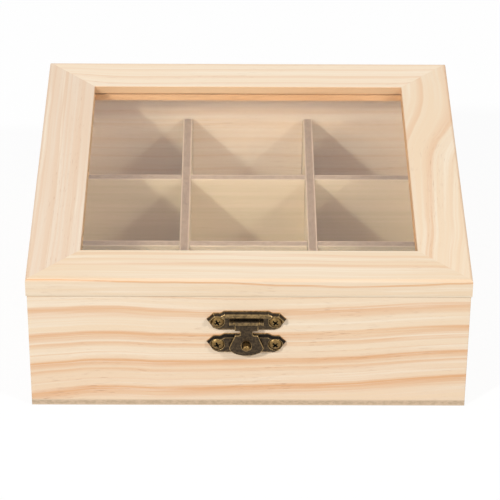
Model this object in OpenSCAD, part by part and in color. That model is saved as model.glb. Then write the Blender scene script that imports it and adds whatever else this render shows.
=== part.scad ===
// Tea bag organizer box: a pine case with nine compartments, a window lid,
// two butt hinges on the back and a stamped hasp clasp on the front.
// Millimetres. +Z is up, the front faces -Y, the origin is the middle of the underside.

/* [Case] */
// Outside width of the case
case_w = 219; // [180:0.5:320]
// Outside depth of the case
case_d = 211; // [180:0.5:320]
// Height of the case rim above the ground
rim_h = 46; // [42:0.5:100]
// Thickness of the case and lid boards
wall_t = 12; // [10:0.5:16]
// Thickness of the plywood base
base_t = 3.6; // [2.5:0.1:6]
// Depth of the corner rebates in the front and back boards
rebate_depth = 5; // [3:0.5:7]

/* [Dividers] */
// Thickness of the divider panels
divider_t = 5; // [2.5:0.1:6]
// How far the dividers stand above the case rim
divider_proud = 2.2; // [1:0.1:8]
// How far a divider's end reaches into its groove
divider_bite = 2.5; // [1.5:0.1:3.5]
// How far the part above the rim stays back from the walls
divider_setback = 1; // [0.6:0.1:3]
// Play across a divider in its groove or halving
divider_play = 0.2; // [0.1:0.05:0.4]
// Play at the end of a divider, and of its tongue below the rim
divider_end_play = 0.3; // [0.1:0.05:0.5]

/* [Lid] */
// Height of the boards under the window frame
skirt_h = 21.5; // [18:0.5:50]
// Overhang of the window frame past the boards
frame_overhang = 0.5; // [0:0.1:1.2]
// Width of the frame rails
rail_w = 26; // [20:0.5:36]
// Thickness of the frame rails
rail_t = 10; // [8.5:0.1:14]
// Rounding of the outer top edge of the frame
rail_round = 1.6; // [0.5:0.1:2.5]
// Thickness of the window pane
pane_t = 2; // [1.5:0.1:3]
// Depth of the pane's top face below the top of the frame
pane_drop = 4.4; // [3.6:0.1:5]
// How far the pane reaches into the rails
pane_bite = 4.5; // [3:0.1:6]
// Play of the pane in its groove
pane_play = 0.2; // [0.1:0.05:0.4]

/* [Screws] */
// Head diameter of the clasp screws
clasp_head_d = 6.2; // [5:0.1:6.8]
// Head height of the clasp screws
clasp_head_h = 1.5; // [1:0.1:1.8]
// Core diameter of the clasp screws
clasp_core_d = 2.2; // [1.8:0.1:2.8]
// Length of the clasp screws under the head
clasp_screw_l = 9; // [6:0.5:9.5]
// Head diameter of the hinge screws
hinge_head_d = 4.6; // [3.6:0.1:5.4]
// Head height of the hinge screws
hinge_head_h = 1; // [0.6:0.1:1.1]
// Core diameter of the hinge screws
hinge_core_d = 1.8; // [1.4:0.1:2.2]
// Length of the hinge screws under the head
hinge_screw_l = 8; // [6:0.5:9]
// Length of each slot of the cross recess
recess_l = 3; // [2:0.1:3.2]
// Width of the slots
recess_w = 0.8; // [0.5:0.1:1]
// Depth of the slots
recess_depth = 0.7; // [0.4:0.1:0.9]
// Extra diameter of a pilot hole over its screw
pilot_play = 0.04; // [0.02:0.01:0.1]

/* [Clasp plates] */
// Sideways place of the clasp from the middle of the case
clasp_x = -1.2; // [-20:0.1:20]
// Width over the two pointed ends
plate_w = 39.6; // [39:0.2:46]
// Height of both plates
plate_h = 11.2; // [10.8:0.1:13]
// Width of the straight top edge
plate_top_w = 21.6; // [18:0.2:24]
// Width at the inner end of the shoulders
step_w = 26.6; // [25:0.2:29]
// Width at the outer end of the shoulders
shoulder_w = 33; // [31:0.2:35]
// Drop from the top edge to the shoulders
shoulder_drop = 1.2; // [0.8:0.1:1.8]
// Height of the pointed ends above the middle of the plate
tip_rise = 0.9; // [0:0.1:2]
// Width of the straight bottom edge
foot_w = 28.4; // [26:0.2:30]
// Width where the lower slopes meet the corner cuts
corner_w = 33.2; // [31:0.2:35]
// Height of the corner cuts at the foot
corner_h = 1.2; // [0.6:0.1:2]
// Width of the bevel around a plate
plate_bevel = 1; // [0.6:0.1:1.3]
// Height of the catch plate's face over the wood
catch_face = 1.7; // [1.5:0.1:2.2]
// Height of the hasp plate's raised band over the wood
band_face = 2.2; // [1.8:0.1:2.5]
// Width of the raised band
band_w = 2.2; // [1.6:0.1:2.4]
// Thickness of the flat part of the hasp plate
plate_flat = 1; // [0.9:0.1:1.1]
// Gap between the case rim and the catch plate
catch_gap = 0.9; // [0.4:0.1:2]
// Gap between the lid's lower edge and the hasp plate
hasp_plate_gap = 1.5; // [1:0.1:2]
// Distance between the two screws of a plate
plate_screw_pitch = 28.8; // [28:0.1:29.6]
// Drop of the screws below the middle of the plate
plate_screw_drop = 0.5; // [0:0.1:0.9]
// Height over the wood at which the clasp screw heads sit
screw_seat = 0.8; // [0.5:0.1:0.9]
// Gap round a clasp screw head in its pocket
pocket_gap = 0.3; // [0.15:0.05:0.4]

/* [Hasp] */
// Height of the hasp's pin above the seam
hasp_rise = 6.7; // [6.2:0.1:7.2]
// Thickness of the hasp's sheet
hasp_t = 1.2; // [1.1:0.1:1.4]
// Gap between the hasp and the catch plate
hasp_gap = 0.3; // [0.25:0.05:0.5]
// Diameter of the rolled barrel
barrel_d = 2.6; // [2.4:0.1:2.6]
// Length of the rolled barrel
barrel_l = 11.7; // [10:0.1:13]
// Diameter of the hasp's pin
hasp_pin_d = 1.2; // [0.9:0.1:1.4]
// Radial running clearance on the hasp's pin
pin_clearance = 0.05; // [0.02:0.01:0.09]
// Gap between the barrel and each knuckle
knuckle_gap = 0.4; // [0.1:0.05:0.5]
// Length of the knuckles on the hasp plate
knuckle_l = 2.2; // [2:0.1:2.8]
// Diameter of the knuckles on the hasp plate
knuckle_d = 2.1; // [2:0.1:2.6]
// Distance from the pin down to the neck
web_h = 4.3; // [3.8:0.1:4.8]
// Width of the neck
neck_w = 6.4; // [5.4:0.1:8]
// Distance from the pin down to the top of the shield
shield_top = 7.1; // [6.4:0.1:7.6]
// Width of the shield's top edge
shield_top_w = 11.4; // [9:0.2:12]
// Width of the shield at its widest
shield_w = 17.2; // [14:0.2:19]
// Distance from the pin down to the shield's widest place
shield_side = 14.6; // [13.6:0.1:15.4]
// Distance from the pin down to the bottom of the shield
shield_end = 19.5; // [18.8:0.1:21]
// Distance from the pin down to the peg
hasp_reach = 13; // [12.6:0.1:13.2]
// Width of the hole in the shield
hole_w = 4.6; // [4.2:0.1:5]
// Height of the hole above the peg's middle
hole_up = 2.4; // [2.3:0.1:2.8]
// Height of the hole below the peg's middle, so that it clears the peg as it swings
hole_down = 3.1; // [3:0.1:3.4]
// Diameter of the catch peg
peg_d = 3.4; // [2.8:0.1:3.6]
// Length of the catch peg from the wood
peg_l = 6.8; // [5.4:0.1:7]
// Height of the peg's domed end
peg_dome = 0.8; // [0.4:0.1:1.2]
// Diameter of the peg's rivet in the plate
rivet_d = 2.4; // [1.6:0.1:2.6]

/* [Hinges] */
// Distance from the case side to the middle of a hinge
hinge_inset = 44; // [30:0.5:60]
// Length of a hinge
leaf_l = 25; // [21:0.5:32]
// Height of a leaf from its lower edge to the barrel
leaf_h = 9; // [8:0.2:12]
// Thickness of a leaf
leaf_t = 0.9; // [0.7:0.1:1.2]
// Diameter of the hinge barrel
hinge_barrel_d = 3.8; // [3.2:0.1:4.2]
// Gap between the barrel and the wood
barrel_stand = 0.1; // [0.05:0.05:0.3]
// Gap between the barrel and the edge of the facing leaf
leaf_gap = 0.3; // [0.2:0.1:0.6]
// Diameter of the hinge pin
hinge_pin_d = 1.6; // [1.2:0.1:2]
// Length of the middle knuckle
middle_knuckle_l = 9.6; // [7:0.1:12]
// Gap between knuckles
hinge_knuckle_gap = 0.2; // [0.1:0.05:0.4]
// Distance between the two screws of a leaf
leaf_screw_pitch = 16; // [14:0.5:16.5]

/* [Hidden] */
$fn = 48;
over = 1; // how far a cutter reaches past what it cuts

pine = "#f0dfc4";
pine_end = "#e8d2b0";
plywood = "#cdb696";
panel = "#cbb59a";
clear = [0.86, 0.88, 0.88, 0.35];
bronze = "#57503f";
brass = "#96804f";

// Inside of the case and its equal cells
inner_w = case_w - 2 * wall_t;
inner_d = case_d - 2 * wall_t;
cell_w = (inner_w - 2 * divider_t) / 3;
cell_d = (inner_d - 2 * divider_t) / 3;
divider_x = (cell_w + divider_t) / 2;
divider_y = (cell_d + divider_t) / 2;
board_h = rim_h - base_t;
divider_h = board_h + divider_proud;
lap_h = divider_h / 2;

// Lid
frame_w = case_w + 2 * frame_overhang;
frame_d = case_d + 2 * frame_overhang;
frame_z = rim_h + skirt_h;
groove_z = rail_t - pane_drop - pane_t;
pane_w = frame_w - 2 * rail_w + 2 * pane_bite;
pane_d = frame_d - 2 * rail_w + 2 * pane_bite;

// Clasp, in the plane of the front: x, height over the seam, and height over the wood
hasp_plate_y = hasp_plate_gap + plate_h / 2;
catch_plate_y = -catch_gap - plate_h / 2;
pin_over_wood = catch_face + hasp_gap + hasp_t / 2;
peg_y = hasp_rise - hasp_reach;
pin_span = barrel_l + 2 * knuckle_gap + 2 * knuckle_l;
screw_turns = [28, 54, 22, 48]; // where each cross recess came to rest

// Hinges, in the plane of the back
hinge_x = case_w / 2 - hinge_inset;
hinge_over_wood = barrel_stand + hinge_barrel_d / 2;
leaf_start = hinge_barrel_d / 2 + leaf_gap;
leaf_screw_y = leaf_start + leaf_h / 2;
outer_knuckle_l = (leaf_l - middle_knuckle_l) / 2 - hinge_knuckle_gap;
hinge_turns = [15, 62, 35, 80];

// ---- Places -------------------------------------------------------------

// x runs along the front, y is the height over the seam, z comes out of the wood
module on_front() {
    translate([0, -case_d / 2, rim_h]) rotate([90, 0, 0]) children();
}

module on_back() {
    translate([0, case_d / 2, rim_h]) rotate([90, 0, 180]) children();
}

// ---- Boards -------------------------------------------------------------

// A full-width board with its outer face on y = 0 and a rebate at each end of its inner face
module long_board(height) {
    difference() {
        translate([-case_w / 2, 0, 0]) cube([case_w, wall_t, height]);
        for (side = [-1, 1])
            translate([side * case_w / 2 - wall_t, wall_t - rebate_depth, -over])
                cube([2 * wall_t, rebate_depth + over, height + 2 * over]);
    }
}

// A side board with its outer face on x = 0, let into the rebates at both ends
module side_board(height) {
    length = case_d - 2 * (wall_t - rebate_depth);
    translate([0, -length / 2, 0]) cube([wall_t, length, height]);
}

// Slots for the ends of two dividers, in a board's inner face at y = wall_t
module end_grooves(places) {
    groove_w = divider_t + divider_play;
    groove_d = divider_bite + divider_end_play;
    for (x = places)
        translate([x - groove_w / 2, wall_t - groove_d, -over])
            cube([groove_w, groove_d + over, board_h + 2 * over]);
}

module clasp_pilots(plate_y) {
    for (side = [-1, 1])
        translate([clasp_x + side * plate_screw_pitch / 2, plate_y - plate_screw_drop, screw_seat])
            pilot(clasp_core_d, clasp_screw_l);
}

module hinge_pilots(up) {
    for (side = [-1, 1], end = [-1, 1])
        translate([side * hinge_x + end * leaf_screw_pitch / 2, up * leaf_screw_y, leaf_t])
            pilot(hinge_core_d, hinge_screw_l);
}

module body_front_board() {
    color(pine) difference() {
        translate([0, -case_d / 2, base_t]) difference() {
            long_board(board_h);
            end_grooves([-divider_x, divider_x]);
        }
        on_front() clasp_pilots(catch_plate_y);
    }
}

module body_back_board() {
    color(pine) difference() {
        translate([0, case_d / 2, base_t]) rotate([0, 0, 180]) difference() {
            long_board(board_h);
            end_grooves([-divider_x, divider_x]);
        }
        on_back() hinge_pilots(-1);
    }
}

module body_side_board() {
    difference() {
        side_board(board_h);
        rotate([0, 0, -90]) end_grooves([-divider_y, divider_y]);
    }
}

module body_left_board() {
    color(pine_end) translate([-case_w / 2, 0, base_t]) body_side_board();
}

module body_right_board() {
    color(pine_end) translate([case_w / 2, 0, base_t]) mirror([1, 0, 0]) body_side_board();
}

module base_panel() {
    color(plywood) translate([-case_w / 2, -case_d / 2, 0]) cube([case_w, case_d, base_t]);
}

// ---- Dividers -----------------------------------------------------------

// A panel along x, its ends tongued into the walls below the rim and set back above it.
// The halvings are cut from the bottom, or from the top.
module divider(inner, laps, from_top) {
    tongue = inner / 2 + divider_bite;
    above = inner / 2 - divider_setback;
    tongue_h = board_h - divider_end_play;
    lap_w = divider_t + divider_play;
    translate([0, divider_t / 2, base_t]) rotate([90, 0, 0]) linear_extrude(divider_t) difference() {
        polygon([
            [-tongue, 0], [tongue, 0], [tongue, tongue_h], [above, tongue_h], [above, divider_h],
            [-above, divider_h], [-above, tongue_h], [-tongue, tongue_h]
        ]);
        for (x = laps)
            translate([x - lap_w / 2, from_top ? lap_h : -over]) square([lap_w, lap_h + over]);
    }
}

module divider_left() {
    color(panel) translate([-divider_x, 0, 0]) rotate([0, 0, 90])
        divider(inner_d, [-divider_y, divider_y], false);
}

module divider_right() {
    color(panel) translate([divider_x, 0, 0]) rotate([0, 0, 90])
        divider(inner_d, [-divider_y, divider_y], false);
}

module divider_front() {
    color(panel) translate([0, -divider_y, 0]) divider(inner_w, [-divider_x, divider_x], true);
}

module divider_back() {
    color(panel) translate([0, divider_y, 0]) divider(inner_w, [-divider_x, divider_x], true);
}

// ---- Lid ----------------------------------------------------------------

// Section of a rail: outer edge at x = 0, a round on the outer top edge, a groove for the pane
module rail_section() {
    difference() {
        square([rail_w, rail_t]);
        translate([0, rail_t - rail_round]) difference() {
            translate([-over, 0]) square([over + rail_round, rail_round + over]);
            translate([rail_round, 0]) circle(rail_round);
            translate([rail_round, -over]) square([over, rail_round + over]);
        }
        translate([rail_w - pane_bite - pane_play, groove_z])
            square([pane_bite + pane_play + over, pane_t + pane_play]);
    }
}

// A rail along x with its outer edge on y = 0, mitred at both ends
module mitred_rail(length) {
    intersection() {
        translate([-length / 2, 0, 0]) rotate([90, 0, 90]) linear_extrude(length) rail_section();
        linear_extrude(rail_t) polygon([
            [-length / 2, 0], [length / 2, 0], [length / 2 - rail_w, rail_w], [rail_w - length / 2, rail_w]
        ]);
    }
}

module lid_front_rail() {
    color(pine) translate([0, -frame_d / 2, frame_z]) mitred_rail(frame_w);
}

module lid_back_rail() {
    color(pine) translate([0, frame_d / 2, frame_z]) rotate([0, 0, 180]) mitred_rail(frame_w);
}

module lid_left_rail() {
    color(pine_end) translate([-frame_w / 2, 0, frame_z]) rotate([0, 0, -90]) mitred_rail(frame_d);
}

module lid_right_rail() {
    color(pine_end) translate([frame_w / 2, 0, frame_z]) rotate([0, 0, 90]) mitred_rail(frame_d);
}

module window_pane() {
    color(clear) translate([-pane_w / 2, -pane_d / 2, frame_z + groove_z]) cube([pane_w, pane_d, pane_t]);
}

module lid_front_skirt() {
    color(pine) difference() {
        translate([0, -case_d / 2, rim_h]) long_board(skirt_h);
        on_front() clasp_pilots(hasp_plate_y);
    }
}

module lid_back_skirt() {
    color(pine) difference() {
        translate([0, case_d / 2, rim_h]) rotate([0, 0, 180]) long_board(skirt_h);
        on_back() hinge_pilots(1);
    }
}

module lid_left_skirt() {
    color(pine_end) translate([-case_w / 2, 0, rim_h]) side_board(skirt_h);
}

module lid_right_skirt() {
    color(pine_end) translate([case_w / 2, 0, rim_h]) mirror([1, 0, 0]) side_board(skirt_h);
}

// ---- Screws -------------------------------------------------------------

// A domed head on z = 0 with a cross recess, and a pointed core below it
module cross_screw(head_d, head_h, core_d, length, turn) {
    dome_r = (head_d * head_d / 4 + head_h * head_h) / (2 * head_h);
    rotate([0, 0, turn]) difference() {
        intersection() {
            translate([0, 0, head_h - dome_r]) sphere(dome_r, $fn = 64);
            cylinder(h = head_h, d = head_d);
        }
        for (arm = [0, 90])
            rotate([0, 0, arm]) translate([0, 0, head_h - recess_depth / 2 + over / 2])
                cube([recess_l, recess_w, recess_depth + over], center = true);
    }
    translate([0, 0, core_d - length]) cylinder(h = length - core_d, d = core_d);
    translate([0, 0, -length]) cylinder(h = core_d, d1 = core_d / 8, d2 = core_d);
}

// The hole that a screw of this core and length needs, from z = 0 down
module pilot(core_d, length) {
    translate([0, 0, -length - pilot_play])
        cylinder(h = length + pilot_play + over, d = core_d + pilot_play);
}

module clasp_screws(plate_y, turns) {
    for (i = [0, 1])
        translate([
            clasp_x + (2 * i - 1) * plate_screw_pitch / 2, plate_y - plate_screw_drop, screw_seat
        ]) cross_screw(clasp_head_d, clasp_head_h, clasp_core_d, clasp_screw_l, turns[i]);
}

module hinge_screw(turn) {
    cross_screw(hinge_head_d, hinge_head_h, hinge_core_d, hinge_screw_l, turn);
}

module hinge_screws(up, turn) {
    for (side = [0, 1], end = [0, 1])
        translate([
            (2 * side - 1) * hinge_x + (2 * end - 1) * leaf_screw_pitch / 2, up * leaf_screw_y, leaf_t
        ]) hinge_screw(turn + hinge_turns[2 * side + end]);
}

module catch_screws() {
    color(brass) on_front() clasp_screws(catch_plate_y, [screw_turns[2], screw_turns[3]]);
}

module hasp_plate_screws() {
    color(brass) on_front() clasp_screws(hasp_plate_y, [screw_turns[0], screw_turns[1]]);
}

module hinge_body_screws() {
    color(brass) on_back() hinge_screws(-1, 0);
}

module hinge_lid_screws() {
    color(brass) on_back() hinge_screws(1, 45);
}

// ---- Clasp --------------------------------------------------------------

// Right half of a plate's outline, from the top edge round the pointed end to the foot
function plate_half() = [
    [plate_top_w / 2, plate_h / 2],
    [step_w / 2, plate_h / 2 - shoulder_drop],
    [shoulder_w / 2, plate_h / 2 - shoulder_drop],
    [plate_w / 2, tip_rise],
    [corner_w / 2, corner_h - plate_h / 2],
    [foot_w / 2, -plate_h / 2]
];

function mirrored(half) = concat(half, [for (i = [len(half) - 1:-1:0]) [-half[i].x, half[i].y]]);

// The outline raised to a smaller face all round, with pockets and holes for its screws
module stamped_plate(face) {
    shrink = [1 - 2 * plate_bevel / plate_w, 1 - 2 * plate_bevel / plate_h];
    difference() {
        linear_extrude(height = face, scale = shrink, slices = 1) polygon(mirrored(plate_half()));
        for (side = [-1, 1])
            translate([side * plate_screw_pitch / 2, -plate_screw_drop, 0]) {
                translate([0, 0, screw_seat]) cylinder(h = face, d = clasp_head_d + 2 * pocket_gap);
                translate([0, 0, -over]) cylinder(h = face + over, d = clasp_core_d + pocket_gap);
            }
    }
}

module catch_plate() {
    color(bronze) on_front() translate([clasp_x, 0, 0]) difference() {
        translate([0, catch_plate_y, 0]) stamped_plate(catch_face);
        translate([0, peg_y, -over]) cylinder(h = catch_face + 2 * over, d = rivet_d);
    }
}

module catch_peg() {
    dome_r = (peg_d * peg_d / 4 + peg_dome * peg_dome) / (2 * peg_dome);
    color(brass) on_front() translate([clasp_x, peg_y, 0]) {
        cylinder(h = catch_face, d = rivet_d);
        translate([0, 0, catch_face]) cylinder(h = peg_l - peg_dome - catch_face, d = peg_d);
        intersection() {
            translate([0, 0, peg_l - dome_r]) sphere(dome_r, $fn = 64);
            translate([0, 0, peg_l - peg_dome]) cylinder(h = peg_dome, d = peg_d);
        }
    }
}

// Everything below the raised band of the hasp plate, which follows the top edge
module below_band() {
    drop = plate_bevel + band_w;
    edge = [
        [plate_top_w / 2, plate_h / 2 - drop],
        [step_w / 2, plate_h / 2 - shoulder_drop - drop],
        [plate_w / 2 + over, plate_h / 2 - shoulder_drop - drop],
        [plate_w / 2 + over, -plate_h / 2 - over]
    ];
    polygon(mirrored(edge));
}

module hasp_knuckle() {
    foot_h = pin_over_wood - plate_flat;
    rotate([0, 90, 0]) cylinder(h = knuckle_l, d = knuckle_d);
    translate([0, -knuckle_d / 2, -foot_h]) cube([knuckle_l, knuckle_d, foot_h]);
}

module hasp_plate() {
    knuckle_x = barrel_l / 2 + knuckle_gap;
    color(bronze) on_front() translate([clasp_x, 0, 0]) difference() {
        union() {
            translate([0, hasp_plate_y, 0]) difference() {
                stamped_plate(band_face);
                translate([0, 0, plate_flat]) linear_extrude(band_face) below_band();
            }
            for (start = [knuckle_x, -knuckle_x - knuckle_l])
                translate([start, hasp_rise, pin_over_wood]) hasp_knuckle();
        }
        translate([-pin_span / 2 - over, hasp_rise, pin_over_wood]) rotate([0, 90, 0])
            cylinder(h = pin_span + 2 * over, d = hasp_pin_d + pilot_play);
    }
}

module hasp_pin() {
    color(brass) on_front() translate([clasp_x - pin_span / 2, hasp_rise, pin_over_wood])
        rotate([0, 90, 0]) cylinder(h = pin_span, d = hasp_pin_d);
}

// Flat outline of the hasp with the pin on y = 0. The shield ends in half an ellipse.
module hasp_outline() {
    rise = shield_end - shield_side;
    shield_top_edge = [[-shield_top_w / 2, -shield_top], [shield_top_w / 2, -shield_top]];
    shield_foot = [for (a = [0:6:180]) [shield_w / 2 * cos(a), -shield_side - rise * sin(a)]];
    hole_r = hole_w / 2;
    difference() {
        union() {
            translate([-barrel_l / 2, -web_h]) square([barrel_l, web_h]);
            translate([-neck_w / 2, -shield_top - over]) square([neck_w, shield_top + over - web_h / 2]);
            polygon(concat(shield_top_edge, shield_foot));
        }
        translate([0, hole_up - hole_r - hasp_reach]) circle(hole_r);
        translate([0, hole_r - hole_down - hasp_reach]) circle(hole_r);
        translate([-hole_r, hole_r - hole_down - hasp_reach])
            square([hole_w, hole_up + hole_down - hole_w]);
    }
}

module hasp() {
    color(bronze) on_front() translate([clasp_x, hasp_rise, pin_over_wood]) difference() {
        union() {
            translate([0, 0, -hasp_t / 2]) linear_extrude(hasp_t) hasp_outline();
            translate([-barrel_l / 2, 0, 0]) rotate([0, 90, 0]) cylinder(h = barrel_l, d = barrel_d);
        }
        translate([-barrel_l / 2 - over, 0, 0]) rotate([0, 90, 0])
            cylinder(h = barrel_l + 2 * over, d = hasp_pin_d + 2 * pin_clearance);
    }
}

// ---- Hinges -------------------------------------------------------------

// A knuckle from x = start, with the tab that ties it to the leaf above it
module hinge_knuckle(start, length) {
    translate([start, 0, hinge_over_wood]) rotate([0, 90, 0]) cylinder(h = length, d = hinge_barrel_d);
    translate([start, 0, 0]) cube([length, leaf_start + over, leaf_t]);
}

// A leaf above the pin, with the holes for its screws. starts holds each knuckle's start and length
module hinge_leaf(knuckles, play) {
    difference() {
        union() {
            translate([-leaf_l / 2, leaf_start, 0]) cube([leaf_l, leaf_h, leaf_t]);
            for (k = knuckles) hinge_knuckle(k[0], k[1]);
        }
        translate([-leaf_l / 2 - over, 0, hinge_over_wood]) rotate([0, 90, 0])
            cylinder(h = leaf_l + 2 * over, d = hinge_pin_d + play);
        for (end = [-1, 1])
            translate([end * leaf_screw_pitch / 2, leaf_screw_y, -over])
                cylinder(h = leaf_t + 2 * over, d = hinge_core_d + pocket_gap);
    }
}

module lid_leaf(side) {
    color(bronze) on_back() translate([side * hinge_x, 0, 0])
        hinge_leaf([[-middle_knuckle_l / 2, middle_knuckle_l]], 2 * pin_clearance);
}

module body_leaf(side) {
    outer = [[-leaf_l / 2, outer_knuckle_l], [leaf_l / 2 - outer_knuckle_l, outer_knuckle_l]];
    color(bronze) on_back() translate([side * hinge_x, 0, 0]) mirror([0, 1, 0])
        hinge_leaf(outer, pilot_play);
}

module hinge_pin(side) {
    color(brass) on_back() translate([side * hinge_x - leaf_l / 2, 0, hinge_over_wood])
        rotate([0, 90, 0]) cylinder(h = leaf_l, d = hinge_pin_d);
}

// The back's own x runs the other way, so side 1 is the left hinge
module hinge_left_lid_leaf() { lid_leaf(1); }
module hinge_right_lid_leaf() { lid_leaf(-1); }
module hinge_left_body_leaf() { body_leaf(1); }
module hinge_right_body_leaf() { body_leaf(-1); }
module hinge_left_pin() { hinge_pin(1); }
module hinge_right_pin() { hinge_pin(-1); }

// ---- Parts --------------------------------------------------------------

base_panel();
body_front_board();
body_back_board();
body_left_board();
body_right_board();
divider_left();
divider_right();
divider_front();
divider_back();
catch_plate();
catch_peg();
catch_screws();
hinge_left_body_leaf();
hinge_right_body_leaf();
hinge_left_pin();
hinge_right_pin();
hinge_body_screws();
lid_front_rail();
lid_back_rail();
lid_left_rail();
lid_right_rail();
window_pane();
lid_front_skirt();
lid_back_skirt();
lid_left_skirt();
lid_right_skirt();
hasp_plate();
hasp_pin();
hasp_plate_screws();
hinge_left_lid_leaf();
hinge_right_lid_leaf();
hinge_lid_screws();
hasp();
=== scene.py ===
"""Looks of a pine tea bag box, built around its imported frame.

The box is a case with nine compartments under a window lid. Two butt hinges on the back
carry the lid, and a stamped hasp clasp closes it at the front. Metres throughout, +Z is up
and the front faces -Y.
"""

import logging
import math
from collections.abc import Callable
from dataclasses import dataclass
from enum import Enum

import bmesh
import bpy
import numpy as np
from mathutils import Matrix, Vector


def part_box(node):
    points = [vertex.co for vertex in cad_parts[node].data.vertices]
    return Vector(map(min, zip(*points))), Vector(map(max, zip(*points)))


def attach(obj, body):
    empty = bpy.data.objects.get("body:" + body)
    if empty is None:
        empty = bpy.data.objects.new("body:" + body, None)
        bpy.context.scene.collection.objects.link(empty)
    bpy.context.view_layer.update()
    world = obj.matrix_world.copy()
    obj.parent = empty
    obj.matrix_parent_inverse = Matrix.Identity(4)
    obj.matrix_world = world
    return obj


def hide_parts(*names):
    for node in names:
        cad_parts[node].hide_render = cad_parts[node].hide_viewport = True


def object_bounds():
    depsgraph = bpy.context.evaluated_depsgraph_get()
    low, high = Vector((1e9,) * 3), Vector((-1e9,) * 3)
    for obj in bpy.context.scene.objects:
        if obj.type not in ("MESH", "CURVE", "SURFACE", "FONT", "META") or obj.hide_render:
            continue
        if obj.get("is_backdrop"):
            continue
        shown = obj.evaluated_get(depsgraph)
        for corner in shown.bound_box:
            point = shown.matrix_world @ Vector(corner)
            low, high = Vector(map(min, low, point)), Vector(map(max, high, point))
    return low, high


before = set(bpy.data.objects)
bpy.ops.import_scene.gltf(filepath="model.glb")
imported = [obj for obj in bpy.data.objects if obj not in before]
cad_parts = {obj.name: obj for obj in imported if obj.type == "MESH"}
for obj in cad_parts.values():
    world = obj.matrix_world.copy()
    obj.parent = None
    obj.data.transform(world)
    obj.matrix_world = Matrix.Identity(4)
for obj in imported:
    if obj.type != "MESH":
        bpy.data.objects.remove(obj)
log = logging.getLogger("tea_box")

MM = 0.001
SEAM_SHARE = 0.12  # how much of its round an edge keeps where a board lies flush against it
METAL_SHARP = 38.0  # degrees from which an edge of a fitting stays sharp
Colour = tuple[float, float, float, float]
Socket = bpy.types.NodeSocket
Value = float | tuple[float, ...] | Socket


def tone(red: int, green: int, blue: int) -> Colour:
    """A colour from its 8-bit screen values.

    Args:
        red: Red from 0 to 255.
        green: Green from 0 to 255.
        blue: Blue from 0 to 255.

    Returns:
        The same colour in linear light, opaque.
    """
    def linear(level: int) -> float:
        share = level / 255
        return share / 12.92 if share <= 0.04045 else ((share + 0.055) / 1.055) ** 2.4

    return (linear(red), linear(green), linear(blue), 1.0)


# ---- Nodes ----------------------------------------------------------------


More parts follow.
